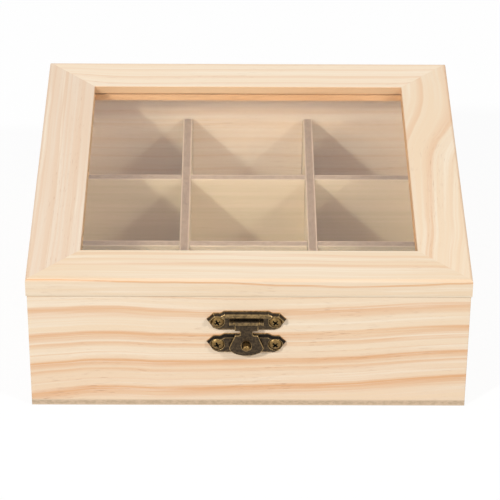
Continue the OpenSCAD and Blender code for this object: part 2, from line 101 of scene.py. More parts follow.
class Graph:
    """Adds nodes to one tree, with each input given as a value or as a link."""

    def __init__(self, tree: bpy.types.NodeTree) -> None:
        """Works on this tree."""
        self.tree = tree

    def feed(self, socket: Socket, value: Value) -> None:
        """Links a socket, or sets its own value.

        Args:
            socket: The input to fill.
            value: An output to link, or a plain value.
        """
        if isinstance(value, Socket):
            self.tree.links.new(value, socket)
        else:
            socket.default_value = value

    def add(self, kind: str, inputs: dict[str, Value] | None = None, **settings: object) -> bpy.types.Node:
        """Adds a node.

        Args:
            kind: The node's type, where a shader node's may go without its ShaderNode prefix.
            inputs: Values or links by the name of the input.
            settings: The node's own properties.

        Returns:
            The new node.
        """
        node = self.tree.nodes.new(kind if kind.startswith("GeometryNode") else "ShaderNode" + kind)
        for name, value in settings.items():
            setattr(node, name, value)
        for name, value in (inputs or {}).items():
            self.feed(node.inputs[name], value)
        return node

    def put(self, kind: str, inputs: dict[str, Value] | None = None, **settings: object) -> Socket:
        """Adds a node as add does, and gives its first output."""
        return self.add(kind, inputs, **settings).outputs[0]

    def axes(self, vector: Value) -> bpy.types.NodeOutputs:
        """The X, Y and Z of a vector, by name or by number."""
        return self.add("SeparateXYZ", {"Vector": vector}).outputs

    def math(self, operation: str, *values: Value, clamp: bool = False) -> Socket:
        """Result of a Math node on these values."""
        node = self.add("Math", operation=operation, use_clamp=clamp)
        for socket, value in zip(node.inputs, values):
            self.feed(socket, value)
        return node.outputs[0]

    def plus(self, first: Value, second: Value, clamp: bool = False) -> Socket:
        """Sum of two values."""
        return self.math("ADD", first, second, clamp=clamp)

    def minus(self, first: Value, second: Value) -> Socket:
        """The first value less the second."""
        return self.math("SUBTRACT", first, second)

    def times(self, first: Value, second: Value, clamp: bool = False) -> Socket:
        """Product of two values."""
        return self.math("MULTIPLY", first, second, clamp=clamp)

    def spread(self, value: Value, low: float, high: float, start: float = 0.0, end: float = 1.0) -> Socket:
        """A value eased from start to end as it goes from low to high."""
        span = {"From Min": low, "From Max": high, "To Min": start, "To Max": end}
        return self.put("MapRange", {"Value": value, **span}, interpolation_type="SMOOTHSTEP")

    def mix(self, factor: Value, first: Value, second: Value, blend: str = "MIX") -> Socket:
        """Colour between first and second, or another blend of them."""
        node = self.add("Mix", data_type="RGBA", blend_type=blend)
        sockets = {socket.identifier: socket for socket in node.inputs}
        self.feed(sockets["Factor_Float"], factor)
        self.feed(sockets["A_Color"], first)
        self.feed(sockets["B_Color"], second)
        return next(socket for socket in node.outputs if socket.identifier == "Result_Color")

    def close(self, output: Socket, geometry: Socket, finish: Socket) -> None:
        """Ends a geometry tree in Realize Instances and Set Material."""
        real = self.put("GeometryNodeRealizeInstances", {"Geometry": geometry})
        self.feed(output, self.put("GeometryNodeSetMaterial", {"Geometry": real, "Material": finish}))

    def over(self, share: Value, lower: bpy.types.Node, upper: bpy.types.Node) -> Socket:
        """One shader laid over another by a share."""
        node = self.add("MixShader")
        for socket, value in zip(node.inputs, (share, lower.outputs[0], upper.outputs[0])):
            self.feed(socket, value)
        return node.outputs[0]

    def noise(
        self, vector: Value, scale: tuple[float, float, float], detail: float = 2.0, roughness: float = 0.5
    ) -> Socket:
        """Noise of about 0.5 on average, with this many grains to a unit along each axis."""
        place = self.put("VectorMath", {0: vector, 1: scale}, operation="MULTIPLY")
        return self.put("TexNoise", {"Vector": place, "Scale": 1.0, "Detail": detail, "Roughness": roughness})

    def ramp(self, factor: Value, stops: list[tuple[float, float]]) -> Socket:
        """Grey level from a colour ramp through these (place, level) stops."""
        node = self.add("ValToRGB", {"Fac": factor})
        elements = node.color_ramp.elements
        for index, (place, level) in enumerate(stops):
            element = elements[index] if index < 2 else elements.new(place)
            element.position = place
            element.color = (level, level, level, 1.0)
        return node.outputs[0]

    def curve(self, value: Value, points: list[tuple[float, float]]) -> Socket:
        """A smooth curve through these points, which lie in the unit square."""
        node = self.add("FloatCurve", {"Value": value})
        line = node.mapping.curves[0]
        for index, (x, y) in enumerate(points):
            if index < 2:
                line.points[index].location = (x, y)
            else:
                line.points.new(x, y)
        node.mapping.update()
        return node.outputs[0]


def fresh_graph(owner: bpy.types.Material | bpy.types.World) -> Graph:
    """The graph of a material or a world, without its first nodes."""
    owner.use_nodes = True
    owner.node_tree.nodes.clear()
    return Graph(owner.node_tree)


def new_group(
    name: str, inputs: dict[str, tuple[str, object]], outputs: dict[str, str], kind: str = "ShaderNodeTree"
) -> tuple[Graph, dict[str, Socket], dict[str, Socket]]:
    """Starts a node group with named sockets.

    Args:
        name: The group's name.
        inputs: For each input its socket kind and its default, or None.
        outputs: For each output its socket kind.
        kind: The kind of tree.

    Returns:
        The group's graph, its inputs as seen from inside, and the sockets that its outputs take.
    """
    tree = bpy.data.node_groups.new(name, kind)
    for label, (sort, default) in inputs.items():
        socket = tree.interface.new_socket(label, in_out="INPUT", socket_type="NodeSocket" + sort)
        if default is not None:
            socket.default_value = default
    for label, sort in outputs.items():
        tree.interface.new_socket(label, in_out="OUTPUT", socket_type="NodeSocket" + sort)
    given = tree.nodes.new("NodeGroupInput").outputs
    made = tree.nodes.new("NodeGroupOutput").inputs
    return Graph(tree), {label: given[label] for label in inputs}, {label: made[label] for label in outputs}


def timber_fibre_group() -> bpy.types.NodeTree:
    """Fine figure of planed wood: fibres, short pores, slow changes of tone, and their relief.

    Returns:
        The group. Its vector runs along the grain, across it and into the board.
    """
    graph, given, made = new_group(
        "Timber Fibre",
        {"Vector": ("Vector", None), "Coarseness": ("Float", 1.0), "Seed": ("Float", 0.0)},
        {"Fibre": "Float", "Pores": "Float", "Cloud": "Float", "Height": "Float"},
    )
    scaled = graph.put("VectorMath", {0: given["Vector"], "Scale": given["Coarseness"]}, operation="SCALE")
    place = graph.put("VectorMath", {0: scaled, 1: given["Seed"]}, operation="ADD")
    fine = graph.noise(place, (14, 900, 900), detail=3.0, roughness=0.6)
    broad = graph.noise(place, (7, 260, 260), detail=1.0)
    fibre = graph.plus(graph.times(fine, 0.5), graph.times(broad, 0.5))
    specks = graph.noise(place, (140, 2400, 2400), detail=1.0)
    patches = graph.noise(place, (12, 60, 60), detail=1.0)
    pores = graph.times(graph.spread(specks, 0.62, 0.76), graph.spread(patches, 0.42, 0.62))
    graph.feed(made["Fibre"], fibre)
    graph.feed(made["Pores"], pores)
    graph.feed(made["Cloud"], graph.spread(graph.noise(place, (5, 22, 22)), 0.3, 0.7))
    graph.feed(made["Height"], graph.minus(fibre, graph.times(pores, 0.6)))
    return graph.tree


def ply_edge_group() -> bpy.types.NodeTree:
    """Cut edge of thin plywood: a dark core between two pale face veneers.

    Returns:
        The group. Depth is the distance from the middle of the sheet, Half Core that of the core's edge.
    """
    ragged, blur = 0.5 * MM, 0.1 * MM
    graph, given, made = new_group(
        "Ply Edge",
        {"Depth": ("Float", 0.0), "Half Core": ("Float", 1.7 * MM), "Vector": ("Vector", None)},
        {"Core": "Float", "Speckle": "Float"},
    )
    stray = graph.minus(graph.noise(given["Vector"], (160, 160, 160)), 0.5)
    reach = graph.plus(given["Half Core"], graph.times(stray, ragged))
    beyond = graph.minus(graph.math("ABSOLUTE", given["Depth"]), reach)
    graph.feed(made["Core"], graph.spread(beyond, -blur, blur, 1.0, 0.0))
    graph.feed(made["Speckle"], graph.noise(given["Vector"], (420, 420, 900), detail=3.0, roughness=0.7))
    return graph.tree


def wear_shade_and_sheen_group() -> bpy.types.NodeTree:
    """Wear of an antiqued plating: where it is rubbed bright or carries a painted highlight, where grime or
    painted shade lies, and its mottle.

    Returns:
        The group. Its two inputs are the piece's own marks of its edges and corners: wear with painted
        highlight, and grime with painted shade.
    """
    graph, given, made = new_group(
        "Rubbed Edges",
        {
            "Vector": ("Vector", None),
            "Rubbed": ("Float", 0.0),
            "Grime": ("Float", 0.0),
            "Evenness": ("Float", 0.5),
        },
        {"Bright": "Float", "Dark": "Float", "Mottle": "Float", "Height": "Float"},
    )
    blotch = graph.noise(given["Vector"], (700, 700, 700), detail=3.0, roughness=0.65)
    pits = graph.noise(given["Vector"], (2600, 2600, 2600))
    patchy = graph.plus(given["Evenness"], graph.spread(blotch, 0.35, 0.65))
    settled = graph.spread(blotch, 0.2, 0.5, 0.6, 1.0)
    graph.feed(made["Bright"], graph.times(given["Rubbed"], patchy, clamp=True))
    graph.feed(made["Dark"], graph.times(given["Grime"], settled, clamp=True))
    graph.feed(made["Mottle"], graph.spread(blotch, 0.35, 0.7))
    graph.feed(made["Height"], graph.plus(graph.times(blotch, 0.6), graph.times(pits, 0.4)))
    return graph.tree


class Finish:
    """A finish: one material with a Principled shader, fed by its figure."""

    def __init__(self, name: str) -> None:
        """Starts an empty material of this name."""
        self.material = bpy.data.materials.new(name)
        self.graph = fresh_graph(self.material)
        self.shader = self.graph.add("BsdfPrincipled")
        self.output = self.graph.add("OutputMaterial", {"Surface": self.shader.outputs[0]})
        self.place = self.graph.add("TexCoord").outputs

    def group(self, tree: bpy.types.NodeTree, inputs: dict[str, Value]) -> dict[str, Socket]:
        """Places a node group with these inputs, and gives its outputs by name."""
        return {socket.name: socket for socket in self.graph.add("Group", inputs, node_tree=tree).outputs}

    def dress(self, inputs: dict[str, Value]) -> None:
        """Sets or links inputs of the shader by name."""
        for name, value in inputs.items():
            self.graph.feed(self.shader.inputs[name], value)

    def relief(self, height: Value, depth: float) -> None:
        """Bumps the surface by a height from 0 to 1, times a depth in metres."""
        self.dress({"Normal": self.graph.put("Bump", {"Height": height, "Strength": 1.0, "Distance": depth})})


# ---- Finishes -------------------------------------------------------------


class Lie(Enum):
    """Axes that run along a board's grain, across its face and into it."""

    FRONT = ("X", "Z", "Y")
    SIDE = ("Y", "Z", "X")
    FLAT_WIDE = ("X", "Y", "Z")
    FLAT_DEEP = ("Y", "X", "Z")


@dataclass(frozen=True)
class Ring:
    """A band of late wood: its place across the board, its width and how dark it is."""

    at: float
    width: float
    depth: float


def rings(*bands: tuple[float, float, float]) -> tuple[Ring, ...]:
    """Rings, each from its place, its width and how dark it is."""
    return tuple(Ring(*band) for band in bands)


@dataclass(frozen=True)
class Bend:
    """How far the grain stands across the board at places along it, in millimetres."""

    points: tuple[tuple[float, float], ...]
    reach: float = 112.0
    rise: float = 20.0

    def unit_points(self) -> list[tuple[float, float]]:
        """The points in a unit square that spans the reach and the rise both ways."""
        return [(0.5 + x / (2 * self.reach), 0.5 + y / (2 * self.rise)) for x, y in self.points]


@dataclass(frozen=True)
class Timber:
    """Groups that the finishes share."""

    fibre: bpy.types.NodeTree
    ply_edge: bpy.types.NodeTree
    wear_shade_and_sheen: bpy.types.NodeTree


@dataclass(frozen=True)
class Pine:
    """Bare sanded pine with its own rings.

    Attributes:
        name: The material's name.
        lie: How the board lies.
        rings: Its bands of late wood, in millimetres across the board.
        low_bend: The grain's course at the low side of the board.
        high_bend: The grain's course at the high side.
        sides: The low and high side of the board, in millimetres.
        face: Place of its outer face on the axis into it, in millimetres.
        lean: How far the rings shift across for each millimetre into the board.
        haze: Share of late wood between the rings below the haze's top.
        haze_top: Place across the board where the haze ends, in millimetres.
        fullness: How soon a ring darkens from its edges to its middle, where 1 is steady.
        inner_face: How far into the board its inner face's tint begins and is full, in millimetres.
        cut_side: The way that its cut edge on the window looks across the board, or 0.
        pale: Colour of the early wood.
        warm: Colour of its slow changes.
        late: Colour of the late wood.
        glint: Colour of the lightest fibres.
        pore: Colour of the pores.
        inner: Tint of the inner face.
        end: Colour of the end grain.
        sawn_and_shade: Colours of the cut edge on the window: the cut wood's tone with painted shade and warm
            bounce light.
        groove: Painted shade on the floor of the pane's groove.
        seed: Where in the figure this board is cut.
    """

    name: str
    lie: Lie
    rings: tuple[Ring, ...]
    low_bend: Bend
    high_bend: Bend
    sides: tuple[float, float]
    face: float
    lean: float = 0.7
    haze: float = 0.0
    haze_top: float = 30.0
    fullness: float = 0.55
    inner_face: tuple[float, float] = (8.0, 11.0)
    cut_side: int = 0
    pale: Colour = tone(243, 225, 201)
    warm: Colour = tone(241, 215, 183)
    late: Colour = tone(225, 165, 112)
    glint: Colour = tone(250, 237, 216)
    pore: Colour = tone(178, 124, 92)
    inner: Colour = tone(241, 243, 242)
    end: Colour = tone(205, 160, 118)
    sawn_and_shade: tuple[Colour, Colour] = (tone(228, 192, 150), tone(214, 164, 116))
    groove: Colour = tone(200, 158, 118)
    seed: float = 0.0

    def course(self, finish: Finish) -> tuple[Socket, Socket, Socket]:
        """The board's own coordinates, with its grain laid straight.

        Args:
            finish: The finish to add to.

        Returns:
            The vector along, across and into the grain in metres, then the place across and the distance
            into the board in millimetres.
        """
        graph = finish.graph
        axes = graph.axes(finish.place["Object"])
        along, across, depth = (axes[name] for name in self.lie.value)

        def offset(bend: Bend) -> Socket:
            share = graph.math("MULTIPLY_ADD", along, 1 / (2 * bend.reach * MM), 0.5)
            risen = graph.minus(graph.curve(share, bend.unit_points()), 0.5)
            return graph.times(risen, 2 * bend.rise)

        height = graph.math("DIVIDE", across, MM)
        low, high = self.sides
        share = graph.math("DIVIDE", graph.minus(height, low), high - low, clamp=True)
        low_part = graph.times(offset(self.low_bend), graph.minus(1.0, share))
        high_part = graph.times(offset(self.high_bend), share)
        level = graph.minus(height, graph.plus(low_part, high_part))
        inwards = graph.math("ABSOLUTE", graph.minus(graph.math("DIVIDE", depth, MM), self.face))
        straight = graph.math("MULTIPLY_ADD", inwards, self.lean, level)
        wobble = graph.noise(graph.put("CombineXYZ", {"X": along, "Y": self.seed}), (26, 1, 1))
        straight = graph.plus(straight, graph.math("MULTIPLY_ADD", wobble, 1.6, -0.8))
        vector = graph.put("CombineXYZ", {"X": along, "Y": graph.times(straight, MM), "Z": depth})
        return vector, straight, inwards

    def late_wood(self, graph: Graph, straight: Socket) -> Socket:
        """Share of late wood at a place across the board.

        Args:
            graph: The graph to add to.
            straight: The place across in millimetres.

        Returns:
            A grey level from 0 to 1.
        """
        low, high = self.sides
        span = high - low
        stops = [(0.0, self.haze)]
        for ring in sorted(self.rings, key=lambda ring: ring.at):
            centre = (ring.at - low) / span
            half = ring.width / span / 2
            ground = self.haze if ring.at < self.haze_top else 0.0
            stops += [(centre - half, ground), (centre + 0.6 * half, ring.depth), (centre + half, ground)]
        stops = [(min(max(place, 0.0), 1.0), level ** (1 / self.fullness)) for place, level in stops]
        level = graph.ramp(graph.math("DIVIDE", graph.minus(straight, low), span), stops)
        return graph.math("POWER", level, self.fullness)

    def cut_tones(
        self, graph: Graph, colour: Socket, facing: bpy.types.NodeOutputs, cloud: Socket, inwards: Socket
    ) -> Socket:
        """Lays the tones of the board's ends and cut edges over its colour, and the painted shade of its
        rounds, cut window edges and groove floor.

        Args:
            graph: The graph to add to.
            colour: The board's colour.
            facing: The surface's normal by axis.
            cloud: The figure's slow changes.
            inwards: The distance into the board in millimetres.

        Returns:
            The colour.
        """
        along, across, _ = self.lie.value
        end = graph.spread(graph.math("ABSOLUTE", facing[along]), 0.8, 0.95)
        colour = graph.mix(graph.times(end, 0.35), colour, self.end)
        if self.lie in (Lie.FLAT_WIDE, Lie.FLAT_DEEP):
            # On the rounds of flat boards: late wood cut across, and painted shade that damps their
            # highlight.
            slant = graph.times(facing["Z"], graph.math("ABSOLUTE", facing[across]))
            colour = graph.mix(graph.times(graph.math("MAXIMUM", slant, 0.0), 0.5), colour, self.late)
        if self.cut_side:
            # The window's cut edges: the cut wood's tone, with painted shade and warm bounce light.
            cut = graph.spread(graph.times(facing[across], self.cut_side), 0.7, 0.95)
            colour = graph.mix(graph.times(cut, 0.85), colour, graph.mix(cloud, *self.sawn_and_shade))
            # Painted shade on the floor of the pane's groove.
            floor = graph.times(graph.spread(facing["Z"], 0.5, 0.8), graph.spread(inwards, 2.0, 3.0))
            colour = graph.mix(floor, colour, self.groove)
        return colour

    def material(self, timber: Timber) -> bpy.types.Material:
        """Builds the material.

        Args:
            timber: The shared groups.

        Returns:
            The material.
        """
        finish = Finish(self.name)
        graph = finish.graph
        vector, straight, inwards = self.course(finish)
        figure = finish.group(timber.fibre, {"Vector": vector, "Seed": self.seed})
        fibre = figure["Fibre"]
        late = self.late_wood(graph, straight)
        colour = graph.mix(graph.times(figure["Cloud"], 0.6), self.pale, self.warm)
        inner = graph.spread(inwards, *self.inner_face)
        streak = graph.times(late, graph.spread(fibre, 0.3, 0.6, 0.65, 1.0))
        streak = graph.times(streak, graph.math("MULTIPLY_ADD", inner, -0.5, 1.0))
        colour = graph.mix(streak, colour, self.late)
        colour = graph.mix(graph.spread(fibre, 0.46, 0.64, 0.0, 0.75), colour, self.warm)
        colour = graph.mix(graph.spread(fibre, 0.5, 0.34, 0.0, 0.45), colour, self.glint)
        dashes = graph.times(figure["Pores"], graph.math("MULTIPLY_ADD", late, 0.5, 0.25))
        colour = graph.mix(dashes, colour, self.pore)
        colour = graph.mix(inner, colour, self.inner, "MULTIPLY")
        facing = graph.axes(finish.place["Normal"])
        finish.dress({
            "Base Color": self.cut_tones(graph, colour, facing, figure["Cloud"], inwards),
            "Roughness": graph.spread(fibre, 0.3, 0.7, 0.66, 0.56),
            "Specular IOR Level": 0.22,
        })
        finish.relief(graph.plus(figure["Height"], graph.times(late, 0.4)), 0.06 * MM)
        return finish.material


@dataclass(frozen=True)
class CutEdge:
    """Colours of a panel's cut edge, which depend on the way its plies run.

    Attributes:
        core: Colour of the cut core.
        speck: Colour of the specks in the core.
        veneer: Colour of the cut face veneers.
    """

    core: Colour
    speck: Colour
    veneer: Colour


@dataclass(frozen=True)
class Panel:
    """Thin bare plywood with its cut edges.

    Attributes:
        name: The material's name.
        grain: The axis along the face grain, 0 for X and 1 for Y.
        thin: The axis through the sheet.
        middle: The middle of the sheet on that axis, in metres.
        half_core: Half the thickness of its core, in metres.
        cut: Colours of its cut edge.
        face: Colour of the face veneer.
        fibre: Colour of its darker fibres.
        pore: Colour of its pores.
        seed: Where in the figure this sheet is cut.
    """

    name: str
    grain: int
    thin: int
    middle: float
    half_core: float
    cut: CutEdge
    face: Colour = tone(224, 207, 176)
    fibre: Colour = tone(213, 198, 163)
    pore: Colour = tone(190, 160, 126)
    seed: float = 0.0

    def material(self, timber: Timber) -> bpy.types.Material:
        """Builds the material.

        Args:
            timber: The shared groups.

        Returns:
            The material.
        """
        finish = Finish(self.name)
        graph = finish.graph
        place = finish.place["Object"]
        axes = graph.axes(place)
        across = 3 - self.grain - self.thin
        lie = {"X": axes[self.grain], "Y": axes[across], "Z": axes[self.thin]}
        vector = graph.put("CombineXYZ", lie)
        figure = finish.group(timber.fibre, {"Vector": vector, "Coarseness": 0.8, "Seed": self.seed})
        depth = graph.minus(axes[self.thin], self.middle)
        ply = finish.group(timber.ply_edge, {"Depth": depth, "Half Core": self.half_core, "Vector": place})
        face = graph.mix(graph.spread(figure["Fibre"], 0.35, 0.65), self.fibre, self.face)
        face = graph.mix(graph.times(figure["Pores"], 0.2), face, self.pore)
        core = graph.mix(graph.spread(ply["Speckle"], 0.35, 0.65), self.cut.core, self.cut.speck)
        edge = graph.mix(ply["Core"], self.cut.veneer, core)
        facing = graph.axes(finish.place["Normal"])[self.thin]
        on_edge = graph.spread(graph.math("ABSOLUTE", facing), 0.55, 0.8, 1.0, 0.0)
        colour = graph.mix(on_edge, face, edge)
        finish.dress({"Base Color": colour, "Roughness": 0.62, "Specular IOR Level": 0.3})
        finish.relief(graph.plus(figure["Height"], graph.times(ply["Speckle"], on_edge)), 0.05 * MM)
        return finish.material


@dataclass(frozen=True)
class ClearPane:
    """Clear sheet with a faint smoky tint, and the tint of the light that shines through it."""

    name: str = "Clear pane"
    tint: Colour = tone(235, 222, 218)
    shade: Colour = tone(242, 250, 246)

    def material(self) -> bpy.types.Material:
        """Builds the material, which lets lamps shine through.

        Returns:
            The material.
        """
        finish = Finish(self.name)
        graph = finish.graph
        finish.dress({"Base Color": self.tint, "Roughness": 0.0, "IOR": 1.49, "Transmission Weight": 1.0})
        finish.relief(graph.noise(finish.place["Object"], (18, 40, 40), detail=3.0), 0.002 * MM)
        lamp_ray = graph.add("LightPath").outputs["Is Shadow Ray"]
        through = graph.add("BsdfTransparent", {"Color": self.shade})
        graph.feed(finish.output.inputs["Surface"], graph.over(lamp_ray, finish.shader, through))
        return finish.material


@dataclass(frozen=True)
class AgedMetal:
    """Antiqued plating, rubbed bright on its edges; its marks also carry a painted highlight and painted
    shade.

    Attributes:
        name: The material's name.
        dark: Colour of the patina.
        brown: Colour of its mottle.
        bright: Colour where it is rubbed, and of its painted highlight.
        grime: Colour of its grime and of its painted shade, in corners, recesses and on upper slopes.
        evenness: Share of an edge that is rubbed.
        gloss: Roughness of the patina.
    """

    name: str
    dark: Colour
    brown: Colour
    bright: Colour
    grime: Colour = tone(26, 21, 16)
    evenness: float = 0.35
    gloss: float = 0.42

    def material(self, timber: Timber) -> bpy.types.Material:
        """Builds the material.

        Args:
            timber: The shared groups.

        Returns:
            The material.
        """
        finish = Finish(self.name)
        graph = finish.graph
        marks = {
            name: graph.add("Attribute", attribute_name=name.lower()).outputs["Fac"]
            for name in ("Rubbed", "Grime")
        }
        place = finish.place["Object"]
        wear = finish.group(timber.wear_shade_and_sheen, {"Vector": place, "Evenness": self.evenness, **marks})
        colour = graph.mix(wear["Mottle"], self.dark, self.brown)
        colour = graph.mix(wear["Bright"], colour, self.bright)
        rough = graph.minus(self.gloss, graph.times(wear["Bright"], 0.1))
        # The dark mark lays grime and painted shade, and the bright mark lays wear and a painted highlight.
        finish.dress({
            "Base Color": graph.mix(wear["Dark"], colour, self.grime),
            "Roughness": graph.math("MULTIPLY_ADD", wear["Dark"], 0.3, rough),
            "Metallic": 0.9,
        })
        finish.relief(wear["Height"], 0.03 * MM)
        return finish.material


# ---- Meshes ---------------------------------------------------------------


@dataclass(frozen=True)
class Piece:
    """How a finished piece was worked, the node that it stands for, its body and its record slot."""

    worked: str
    node: str
    body: str
    slot: str


def node_mesh(node: str) -> bmesh.types.BMesh:
    """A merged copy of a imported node's mesh, with its flat faces whole.

    Args:
        node: The node's name.

    Returns:
        The copy.
    """
    mesh = bmesh.new()
    mesh.from_mesh(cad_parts[node].data)
    bmesh.ops.remove_doubles(mesh, verts=mesh.verts, dist=0.001 * MM)
    bmesh.ops.dissolve_limit(
        mesh, angle_limit=math.radians(0.5), verts=mesh.verts, edges=mesh.edges, delimit={"NORMAL"}
    )
    return mesh


def realised(host: bpy.types.Object) -> bpy.types.Mesh:
    """A new mesh of an object with its modifiers."""
    bpy.context.view_layer.update()
    state = bpy.context.evaluated_depsgraph_get()
    shown = host.evaluated_get(state)
    return bpy.data.meshes.new_from_object(shown, preserve_all_data_layers=True, depsgraph=state)


def settled(made: bpy.types.Object) -> bpy.types.Object:
    """The object, with its modifiers worked into its mesh."""
    mesh = realised(made)
    made.modifiers.clear()
    made.data = mesh
    return made


def linked(name: str, data: bpy.types.ID) -> bpy.types.Object:
    """A new object of this data in the scene, at the origin."""
    made = bpy.data.objects.new(name, data)
    bpy.context.scene.collection.objects.link(made)
    return made


def new_object(name: str, source: bmesh.types.BMesh) -> bpy.types.Object:
    """A new object of this mesh, which is used up."""
    mesh = bpy.data.meshes.new(name)
    source.to_mesh(mesh)
    source.free()
    return linked(name, mesh)


def dress(holder: bpy.types.Object, material: bpy.types.Material, slot: str) -> None:
    """Gives an object its finish."""
    holder.data.materials.clear()
    holder.data.materials.append(material)


def hand_over(made: bpy.types.Object, piece: Piece, material: bpy.types.Material) -> None:
    """Gives a piece its name, finish, body and node.

    Args:
        made: The finished object.
        piece: What it stands for.
        material: Its finish.
    """
    name = f"{piece.worked}_{piece.node}"
    made.name = name
    made.data.name = name
    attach(made, piece.body)
    dress(made, material, piece.slot)
    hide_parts(piece.node)
    log.info("%s: %d faces on %s", name, len(made.data.polygons), piece.body)


def keep_node(node: str, material: bpy.types.Material, slot: str) -> None:
    """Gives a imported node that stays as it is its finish."""
    dress(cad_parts[node], material, slot)
    log.info("%s: kept as packed", node)


def grow(host: bpy.types.Object, tree: bpy.types.NodeTree, values: dict[str, object]) -> None:
    """Runs a geometry tree on an object, which keeps the result as its mesh.

    Args:
        host: The object.
        tree: The tree.
        values: The tree's inputs by name.
    """
    step = host.modifiers.new("grow", "NODES")
    step.node_group = tree
    for socket in tree.interface.items_tree:
        if socket.in_out == "INPUT" and socket.name in values:
            step[socket.identifier] = values[socket.name]
    settled(host)


def eased(value: float, low: float, high: float) -> float:
    """Smooth step from 0 at low to 1 at high."""
    part = min(max((value - low) / (high - low), 0.0), 1.0)
    return part * part * (3 - 2 * part)


def smooth(mesh: bpy.types.Mesh, angle: float) -> None:
    """Shades a mesh smooth, with edges past an angle in degrees kept sharp."""
    mesh.shade_smooth()
    mesh.set_sharp_from_angle(angle=math.radians(angle))


def softened(
    node: str, width: float, seam: Callable[[Vector], bool] = lambda middle: False, shortest: float = 0.0
) -> bpy.types.Object:
    """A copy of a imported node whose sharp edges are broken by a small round.

    Args:
        node: The node's name.
        width: The width of the round.
        seam: Says of an edge's middle whether a neighbour lies flush against it, which leaves it crisper.
        shortest: Length below which an edge, such as one round a screw hole, stays as it is.

    Returns:
        The object.
    """
    source = node_mesh(node)
    weights = source.edges.layers.float.new("bevel_weight_edge")
    for edge in source.edges:
        if edge.calc_face_angle() < math.radians(25):
            continue
        if edge.calc_length() < shortest:
            edge.smooth = False
            continue
        middle = (edge.verts[0].co + edge.verts[1].co) / 2
        edge[weights] = SEAM_SHARE if seam(middle) else 1.0
    made = new_object(node, source)
    made.data.shade_smooth()
    bevel = made.modifiers.new("arris", "BEVEL")
    bevel.limit_method = "WEIGHT"
    bevel.width = width
    bevel.segments = 2
    flat_faces = made.modifiers.new("flat faces", "WEIGHTED_NORMAL")
    flat_faces.mode = "FACE_AREA"
    flat_faces.weight = 100
    flat_faces.keep_sharp = True
    return settled(made)


Share = Callable[[Vector], float]


def nowhere(point: Vector) -> float:
    """A share that is 0 at every point."""
    return 0.0


@dataclass(frozen=True)
class Wear:
    """Angles in degrees over which an edge goes from clean to rubbed, and a corner to grimy and darkened by
    painted shade.
    """

    rubbed: tuple[float, float] = (8.0, 22.0)
    grime: tuple[float, float] = (8.0, 25.0)

    def mark(self, mesh: bpy.types.Mesh, painted_shade: Share = nowhere, polish_and_sheen: Share = nowhere) -> None:
        """Writes a mesh's wear and grime attributes by how each point's edges turn; the wear also carries
        painted highlight and the grime painted shade.

        Args:
            mesh: The mesh to mark.
            painted_shade: The least painted shade at a point, which goes into its grime.
            polish_and_sheen: The least wear at a point, which also carries painted highlight.
        """
        work = bmesh.new()
        work.from_mesh(mesh)
        rubbed = [polish_and_sheen(vert.co) for vert in work.verts]
        grime = [painted_shade(vert.co) for vert in work.verts]
        for edge in work.edges:
            if len(edge.link_faces) != 2:
                continue
            turn = math.degrees(edge.calc_face_angle_signed())
            for vert in edge.verts:
                rubbed[vert.index] = max(rubbed[vert.index], eased(turn, *self.rubbed))
                grime[vert.index] = max(grime[vert.index], eased(-turn, *self.grime))
        work.free()
        for name, values in (("rubbed", rubbed), ("grime", grime)):
            mesh.attributes.new(name, "FLOAT", "POINT").data.foreach_set("value", values)


DOMED_WEAR = Wear(rubbed=(20, 60))


def closed_grid(rows: list[list[Vector]], back: Callable[[Vector], Vector]) -> bmesh.types.BMesh:
    """A closed sheet: a front of rows of points, and a back that is one flat face.

    Args:
        rows: The front's points, all rows as long as each other.
        back: Gives the back's point behind a point of the front's rim.

    Returns:
        The mesh, with its faces outwards.
    """
    mesh = bmesh.new()
    front = [[mesh.verts.new(point) for point in row] for row in rows]
    for lower, upper in zip(front, front[1:]):
        for i in range(len(lower) - 1):
            mesh.faces.new((lower[i], lower[i + 1], upper[i + 1], upper[i]))
    rim = front[0] + [row[-1] for row in front[1:]] + front[-1][-2::-1] + [row[0] for row in front[-2:0:-1]]
    behind = [mesh.verts.new(back(vert.co)) for vert in rim]
    for i in range(len(rim)):
        j = (i + 1) % len(rim)
        mesh.faces.new((rim[j], rim[i], behind[i], behind[j]))
    mesh.faces.new(behind[::-1])
    bmesh.ops.remove_doubles(mesh, verts=mesh.verts, dist=0.002 * MM)
    bmesh.ops.dissolve_degenerate(mesh, dist=0.001 * MM, edges=mesh.edges)
    bmesh.ops.recalc_face_normals(mesh, faces=mesh.faces)
    return mesh


def tube(radius: float, bore: float, start: Vector, end: Vector, sides: int = 48) -> bmesh.types.BMesh:
    """A straight tube between two points.

    Args:
        radius: Its outer radius.
        bore: The radius of its bore.
        start: The middle of its first end.
        end: The middle of its other end.
        sides: Faces round it.

    Returns:
        The mesh, with its faces outwards.
    """
    mesh = bmesh.new()
    turned = (end - start).to_track_quat("Z", "Y").to_matrix()
    rounds = []
    for reach, centre in ((radius, start), (radius, end), (bore, end), (bore, start)):
        angles = [math.tau * i / sides for i in range(sides)]
        points = [centre + turned @ Vector((reach * math.cos(a), reach * math.sin(a), 0)) for a in angles]
        rounds.append([mesh.verts.new(point) for point in points])
    for first, second in zip(rounds, rounds[1:] + rounds[:1]):
        for i in range(sides):
            j = (i + 1) % sides
            mesh.faces.new((first[i], first[j], second[j], second[i]))
    bmesh.ops.recalc_face_normals(mesh, faces=mesh.faces)
    return mesh


def fused(
    first: bpy.types.Object, others: list[bpy.types.Object], operation: str = "UNION"
) -> bpy.types.Object:
    """Joins, or cuts, an object by others, which are used up.

    Args:
        first: The object that stays.
        others: The objects to add or to take away.
        operation: UNION or DIFFERENCE.

    Returns:
        The first object with its new mesh.
    """
    for other in others:
        step = first.modifiers.new("join", "BOOLEAN")
        step.operation = operation
        step.solver = "EXACT"
        step.object = other
    settled(first)
    for other in others:
        bpy.data.objects.remove(other)
    return first


# ---- Wooden box -----------------------------------------------------------

